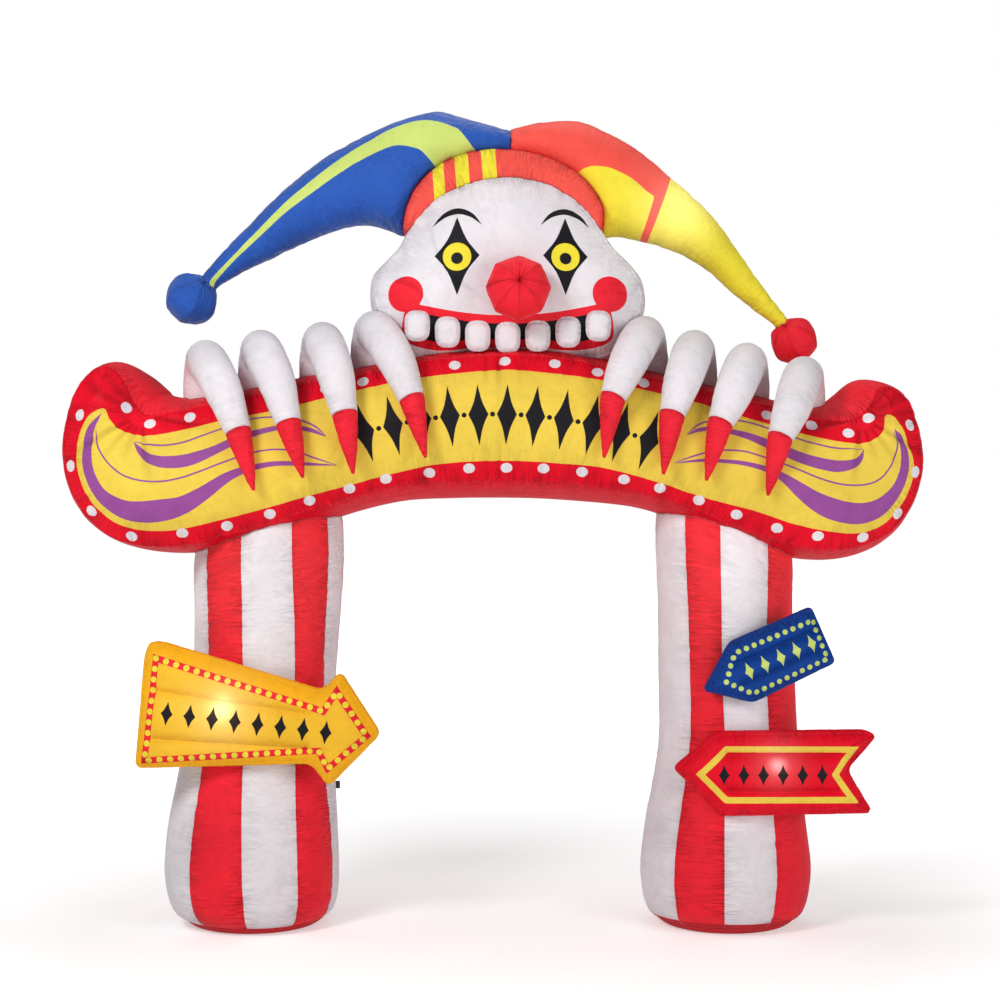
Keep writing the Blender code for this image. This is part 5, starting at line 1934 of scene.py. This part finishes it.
# --- signs
@dataclass
class Sign:
    """Stuffed sign with rounded corners, printed bands and sewn channels."""

    name: str
    slot: str
    corners: Rows
    channels: tuple[Channel, ...]
    ground: Dye
    seed: int
    # painted glows: spots on the sign that give off light
    painted_glows: tuple[GlowSpot, ...] = ()
    depth: float = 0.06
    crown: float = 0.055
    puff: float = 0.014
    rounding: float = 0.045
    middle: float = -0.365
    spacing: float = 0.0075
    marks: list[Print] = field(default_factory=list)

    def band(self, knots: Rows, width: float, dye: Dye, inner: Dye) -> None:
        """Print a closed band of straight sides, with what lies inside it.

        Args:
            knots: corners of the band's middle line.
            width: its breadth.
            dye: its colour.
            inner: colour of the area inside it.
        """
        for inset, colour in ((-width / 2, dye), (width / 2, inner)):
            line = mitred(knots, inset)
            outline = evenly(np.array([*line, line[0]]), 0.008, closed=True)
            self.marks.append(Print(outline, colour))

    def bulbs(self, knots: Rows, pitch: float, radius: float, dye: Dye) -> None:
        """Print dots at even steps along a closed line."""
        line = evenly(np.array([*knots, knots[0]], float), pitch, closed=True)
        self.marks += [disc(x, z, radius, dye, 12) for x, z in line]

    def diamonds(self, start: tuple[float, float], end: tuple[float, float], count: int,
                 size: tuple[float, float], dye: Dye) -> None:
        """Print a row of lozenges along a line."""
        lean = math.atan2(end[1] - start[1], end[0] - start[0])
        for number in range(count):
            share = number / (count - 1)
            self.marks.append(lozenge(start[0] + (end[0] - start[0]) * share,
                                      start[1] + (end[1] - start[1]) * share, *size, dye, lean))

    def skin(self) -> Skin:
        """Cut, sew and stuff the sign."""
        edge = rounded(self.corners, self.rounding, self.spacing)
        line = edge - outward(edge) * self.puff
        made = AirPad(
            rim=line, bulge=outward(line) * self.puff, depth=self.depth, crown=self.crown,
            reach=0.11, middle=self.middle, spacing=self.spacing, face=self.ground,
            side=self.ground, back=self.ground, prints=self.marks, channels=self.channels,
            seed=self.seed, folds=0.75, fold_size=0.55, fold_reach=0.10, slack=0.0015,
            shrink=2.2).skin()
        made.painted_glows += self.painted_glows
        return made


def make_signs() -> list[Sign]:
    """The three signs with their printing."""
    arrow = Sign(
        "sign_arrow", "orange_nylon", rounding=0.038, corners=table("""
            -1435 1294, -1492 1288, -1512 1225, -1552 742, -790 762, -715 660, -485 892,
            -662 1165, -738 1082"""),
        channels=(Channel(-1.450, 1.080, -0.810, 0.985), Channel(-1.460, 0.875, -0.810, 0.835)),
        ground=Dye.ORANGE, seed=301, painted_glows=((-1.165, -0.45, 1.010, 0.048, 0.80),
                                            (-1.165, -0.45, 1.000, 0.14, 0.24)))
    route = table("-1449 1222, -731 994, -675 1079, -546 887, -715 747, -751 825, -1501 782")
    arrow.band(route, 0.029, Dye.RED, Dye.GOLD)
    arrow.bulbs(route, 0.0465, 0.0135, Dye.LEMON)
    arrow.diamonds((-1.400, 0.985), (-0.720, 0.905), 8, (0.026, 0.052), Dye.BLACK)
    pointer = Sign(
        "sign_pointer", "blue_nylon", rounding=0.026, corners=table(
            "900 1078, 1120 1025, 1478 1200, 1370 1445, 1015 1290"),
        channels=(Channel(1.041, 1.195, 1.375, 1.337), Channel(1.073, 1.107, 1.400, 1.258)),
        ground=Dye.NAVY, seed=317)
    route = table("997 1119, 1026 1217, 1042 1246, 1372 1385, 1435 1219, 1112.5 1068")
    pointer.bulbs(route, 0.0355, 0.0117, Dye.LIME)
    pointer.diamonds((1.095, 1.165), (1.365, 1.283), 5, (0.020, 0.042), Dye.LIME)
    swallowtail = Sign(
        "sign_swallowtail", "red_nylon", rounding=0.030, corners=table("""
            770 745, 990 535, 1640 548, 1528 737, 1655 882, 1605 912, 955 905"""),
        channels=(Channel(1.010, 0.805, 1.480, 0.805), Channel(1.010, 0.650, 1.480, 0.650)),
        ground=Dye.CRIMSON, seed=331, painted_glows=((1.215, -0.45, 0.766, 0.032, 0.75),
                                             (1.215, -0.45, 0.766, 0.10, 0.12)))
    swallowtail.band(table("885 724, 997 830, 1541 829, 1462 723, 1541 613, 997 612"), 0.027,
                     Dye.YELLOW, Dye.CRIMSON)
    swallowtail.diamonds((0.985, 0.722), (1.405, 0.722), 6, (0.024, 0.046), Dye.BLACK)
    return [arrow, pointer, swallowtail]


@dataclass
class TetherTab:
    """Folded strap of webbing low on the inner side of the left leg."""

    place: Place = (-0.7445, 0.05, 0.616)   # middle of its hidden side
    reach: float = 0.042
    width: float = 0.034
    gap: float = 0.0042
    thickness: float = 0.0024

    def skin(self, leg: BVHTree) -> Skin:
        """Fold the strap and seat it on the leg."""
        lane = curve([(0.004, self.gap), (self.reach * 0.6, self.gap),
                      (self.reach * 0.9, self.gap * 0.8), (self.reach, 0.0),
                      (self.reach * 0.9, -self.gap * 0.8), (self.reach * 0.6, -self.gap),
                      (0.004, -self.gap)], 0.0015)
        along = np.gradient(lane, axis=0)
        across = unit(np.column_stack([-along[:, 1], along[:, 0], np.zeros(len(lane))]))
        turns = np.arange(20) * math.tau / 20
        flat, tall = (np.sign(wave(turns)) * np.abs(wave(turns)) ** 0.4
                      for wave in (np.cos, np.sin))
        middle = np.column_stack([lane, np.zeros(len(lane))]) + self.place
        rings = (middle[:, None] + across[:, None] * (flat * self.thickness / 2)[None, :, None]
                 + np.array([0.0, 0.0, 1.0]) * (tall * self.width / 2)[None, :, None])
        made = AirTube(rings=rings, dye=Dye.WEBBING, seams=(), sewn_ends=(False, False),
                       slack=0.0).skin()
        made.press((1, 0, 0), [leg])
        return made


# --- studio
@dataclass
class Studio:
    """Pale floor, soft light and the camera."""

    camera_place: Place = (0.0, -7.924, 1.7)
    lens: float = 63.58
    shift: tuple[float, float] = (0.006, 0.0467)

    def camera(self) -> None:
        """Camera at the photograph's viewing angle."""
        data = bpy.data.cameras.new("camera")
        data.lens, data.clip_end = self.lens, 200.0
        data.shift_x, data.shift_y = self.shift
        made = put("camera", data)
        made.location = self.camera_place
        made.rotation_euler = (math.radians(90), 0, 0)
        bpy.context.scene.camera = made

    @staticmethod
    def floor(size: float = 60.0) -> None:
        """Plain pale floor."""
        mesh = bpy.data.meshes.new("studio_floor")
        mesh.from_pydata([(-size, -size, 0), (size, -size, 0), (size, size, 0), (-size, size, 0)],
                         [], [(0, 1, 2, 3)])
        paper = bpy.data.materials.new("studio_paper")
        paper.use_nodes = True
        made = Wiring(paper.node_tree)
        far = made.node("VectorMath", {0: made.node("TexCoord", out="Object")}, "Value",
                        operation="LENGTH")
        seen = made.node("LightPath", out="Is Camera Ray")
        made.feed(made.tree.nodes["Principled BSDF"], {
            "Base Color": (0.80, 0.80, 0.80, 1), "Roughness": 0.9, "Specular IOR Level": 0.1,
            "Emission Color": (1, 1, 1, 1),
            "Emission Strength": far.ranged(1.8, 6.5, 0.40) * seen.ranged(0.0, 1.0, 0.45, 1.12)})
        mesh.materials.append(paper)
        put("studio_floor", mesh)

    @staticmethod
    def lamp(name: str, place: Place, aim: Place, size: float, power: float) -> None:
        """Soft square lamp that looks at a place."""
        data = bpy.data.lights.new(name, "AREA")
        data.size, data.energy = size, power
        made = put(name, data)
        made.location = place
        made.rotation_euler = (Vector(aim) - Vector(place)).to_track_quat("-Z", "Y").to_euler()

    def light(self) -> None:
        """White surroundings, a key from the upper left, a fill and a light from above."""
        world = bpy.data.worlds.new("studio")
        world.use_nodes = True
        made = Wiring(world.node_tree)
        seen = made.node("LightPath", out="Is Camera Ray")
        made.feed(made.tree.nodes["Background"], {
            0: (1.0, 1.0, 1.0, 1), 1: seen.ranged(0.0, 1.0, 0.25)})
        bpy.context.scene.world = world
        self.lamp("key", (-3.6, -5.2, 5.2), (0, 0, 1.9), 2.0, 254)
        self.lamp("fill", (4.8, -5.6, 2.2), (0, 0, 1.6), 3.0, 146)
        self.lamp("top", (0.6, 0.8, 7.0), (0, 0, 1.5), 3.0, 84)
        view = bpy.context.scene.view_settings
        view.view_transform, view.look, view.exposure, view.gamma = "Standard", "None", 0.0, 1.0


# --- assembly
LEFT_FINGERS = ((1, -1.285, 2.615, -1.090, 2.190, -1.025, 1.940),
                (2, -1.040, 2.660, -0.875, 2.225, -0.815, 1.993),
                (3, -0.765, 2.695, -0.635, 2.263, -0.600, 2.010),
                (4, -0.535, 2.745, -0.350, 2.330, -0.292, 2.080))
RIGHT_FINGERS = ((4, 0.672, 2.722, 0.507, 2.336, 0.470, 2.080),
                 (3, 0.893, 2.660, 0.760, 2.263, 0.723, 2.008),
                 (2, 1.127, 2.603, 0.966, 2.228, 0.907, 1.982),
                 (1, 1.378, 2.543, 1.221, 2.165, 1.170, 1.918))


def dress(name: str, skin: Skin, slot: str) -> None:
    declare(skin.make(name + "_cloth"), name, slot)


@dataclass
class Archway:
    """The whole archway, each step of which returns what later pieces are seated on."""

    beam: Beam = field(default_factory=Beam)
    jester: Head = field(default_factory=Head)
    hat: Cap = field(default_factory=Cap)
    finger_side: float = 0.30   # the head gives way to the fingers further out than this
    horn_rest: float = 0.65     # the horns lie on band and head up to here
    # painted glow: a spot that gives off light on the right horn
    horn_lamp: GlowSpot = (0.83, -0.15, 3.22, 0.16, 0.35)
    leg_lamp: tuple[float, ...] = (-0.30, 1.60, 0.42, 0.065)   # painted glow on each leg's upper part: the same without x

    def __post_init__(self) -> None:
        """Sew the beam, which carries all else."""
        self.pad = self.beam.pad()
        skin = self.pad.skin()
        self.carrier = skin.tree()
        dress("beam", skin, "yellow_nylon")
        sew("beam_stitches", "yellow_nylon", [skin], Dye.RED)

    def hands(self) -> list[BVHTree]:
        """Sew both hands and return the two fingers beside the head."""
        beside = []
        for side, rows in ((Side.LEFT, LEFT_FINGERS), (Side.RIGHT, RIGHT_FINGERS)):
            hand = Hand(side, rows).skins(self.pad.face_at, self.carrier)
            for name, skin in hand.items():
                dress(name, skin, "red_nylon" if name.startswith("claw") else "white_nylon")
            sew(f"hand_{side.value}_stitches", "white_nylon",
                [skin for name, skin in hand.items() if name.startswith("finger")])
            beside.append(hand[f"finger_{side.value}_4"].tree())
        return beside

    def head(self, beside: list[BVHTree]) -> BVHTree:
        """Sew the head between its fingers, with teeth and nose, and return its cloth."""
        pad = self.jester.pad()
        skin = pad.skin()
        skin.press((0, 0, 1), [self.carrier])
        skin.dent(beside, np.abs(skin.points[:, 0] - CAP_MIDDLE) > self.finger_side)
        head = skin.tree()
        dress("head", skin, "white_nylon")
        teeth = self.jester.teeth(pad)
        for name, tooth in teeth.items():
            tooth.press((0, -1, 0), [head])
            tooth.dent([self.carrier])
            dress(name, tooth, "white_nylon")
        sew("head_stitches", "white_nylon", [skin, *teeth.values()])
        nose = GoredBall(
            name="nose", centre=(0.104, -0.455, 2.805), radius=0.131, axis=(0.02, -1.0, 0.14),
            gores=8, dye=Dye.RED, slot="red_nylon", dip=-0.075)
        nose.press((0, -1, 0), [head])
        nose.dress()
        return head

    def cap(self, head: BVHTree) -> None:
        """Sew the cap with its horns and balls on the head."""
        band = self.hat.band().skin()
        band.press(self.hat.outwards, [head])
        dress("hat_band", band, "red_nylon")
        carriers = [band.tree(), head]
        balls = {
            Side.LEFT: GoredBall(
                name="ball_left", centre=(-1.370, 0.0, 2.822), radius=0.113,
                axis=(0.6, -0.55, 0.6), gores=6, dye=Dye.BLUE, slot="blue_nylon"),
            Side.RIGHT: GoredBall(
                name="ball_right", centre=(1.382, 0.14, 2.650), radius=0.103,
                axis=(-0.5, -0.6, 0.6), gores=6, dye=Dye.RED, slot="red_nylon")}
        horns = []
        for side, ball in balls.items():
            horn = self.hat.horn(side, ball.tree()).skin()
            near = np.abs(horn.points[:, 0] - CAP_MIDDLE) < self.horn_rest
            horn.press(self.hat.outwards, carriers, near)
            tip = horn.end(1)
            push = horn.points[tip].mean(axis=0) - ball.centre
            horn.press(tuple(push), [ball.tree()], tip, cling=True)
            if side is Side.RIGHT:
                horn.painted_glows.append(self.horn_lamp)
            dress(f"horn_{side.value}", horn, ball.slot)
            ball.dress()
            horns.append(horn)
        sew("cap_stitches", "red_nylon", [band, *horns], Dye.RED)

    def legs(self) -> dict[Side, BVHTree]:
        """Sew both legs with their soles and return the legs' cloth."""
        legs = {}
        for leg in (Leg(Side.LEFT, LEFT_LEG, LEFT_SEAMS, 131),
                    Leg(Side.RIGHT, RIGHT_LEG, RIGHT_SEAMS, 157, rim=0.056)):
            skin = leg.leg(self.carrier)
            legs[leg.side] = skin.tree()
            skin.painted_glows.append((leg.rows[-1][1], *self.leg_lamp))
            dress(f"leg_{leg.side.value}", skin, "white_nylon")
            dress(f"sole_{leg.side.value}", leg.sole(), "red_nylon")
            sew(f"leg_{leg.side.value}_stitches", "white_nylon", [skin])
        return legs

    @staticmethod
    def signs(legs: dict[Side, BVHTree]) -> None:
        """Sew the signs and the tab on the legs."""
        for sign in make_signs():
            skin = sign.skin()
            carrier = legs[Side.LEFT if sign.name == "sign_arrow" else Side.RIGHT]
            skin.press((0, -1, 0), [carrier])
            dress(sign.name, skin, sign.slot)
            sew(sign.name + "_stitches", sign.slot, [skin],
                Dye.RED if sign.ground is Dye.CRIMSON else sign.ground)
        dress("tether_tab", TetherTab().skin(legs[Side.LEFT]), "black_webbing")


def main() -> None:
    """Build the archway, piece by piece, and light it."""
    studio = Studio()
    studio.camera()
    archway = Archway()
    archway.cap(archway.head(archway.hands()))
    archway.signs(archway.legs())
    studio.floor()
    studio.light()


if __name__ == "__main__":
    main()
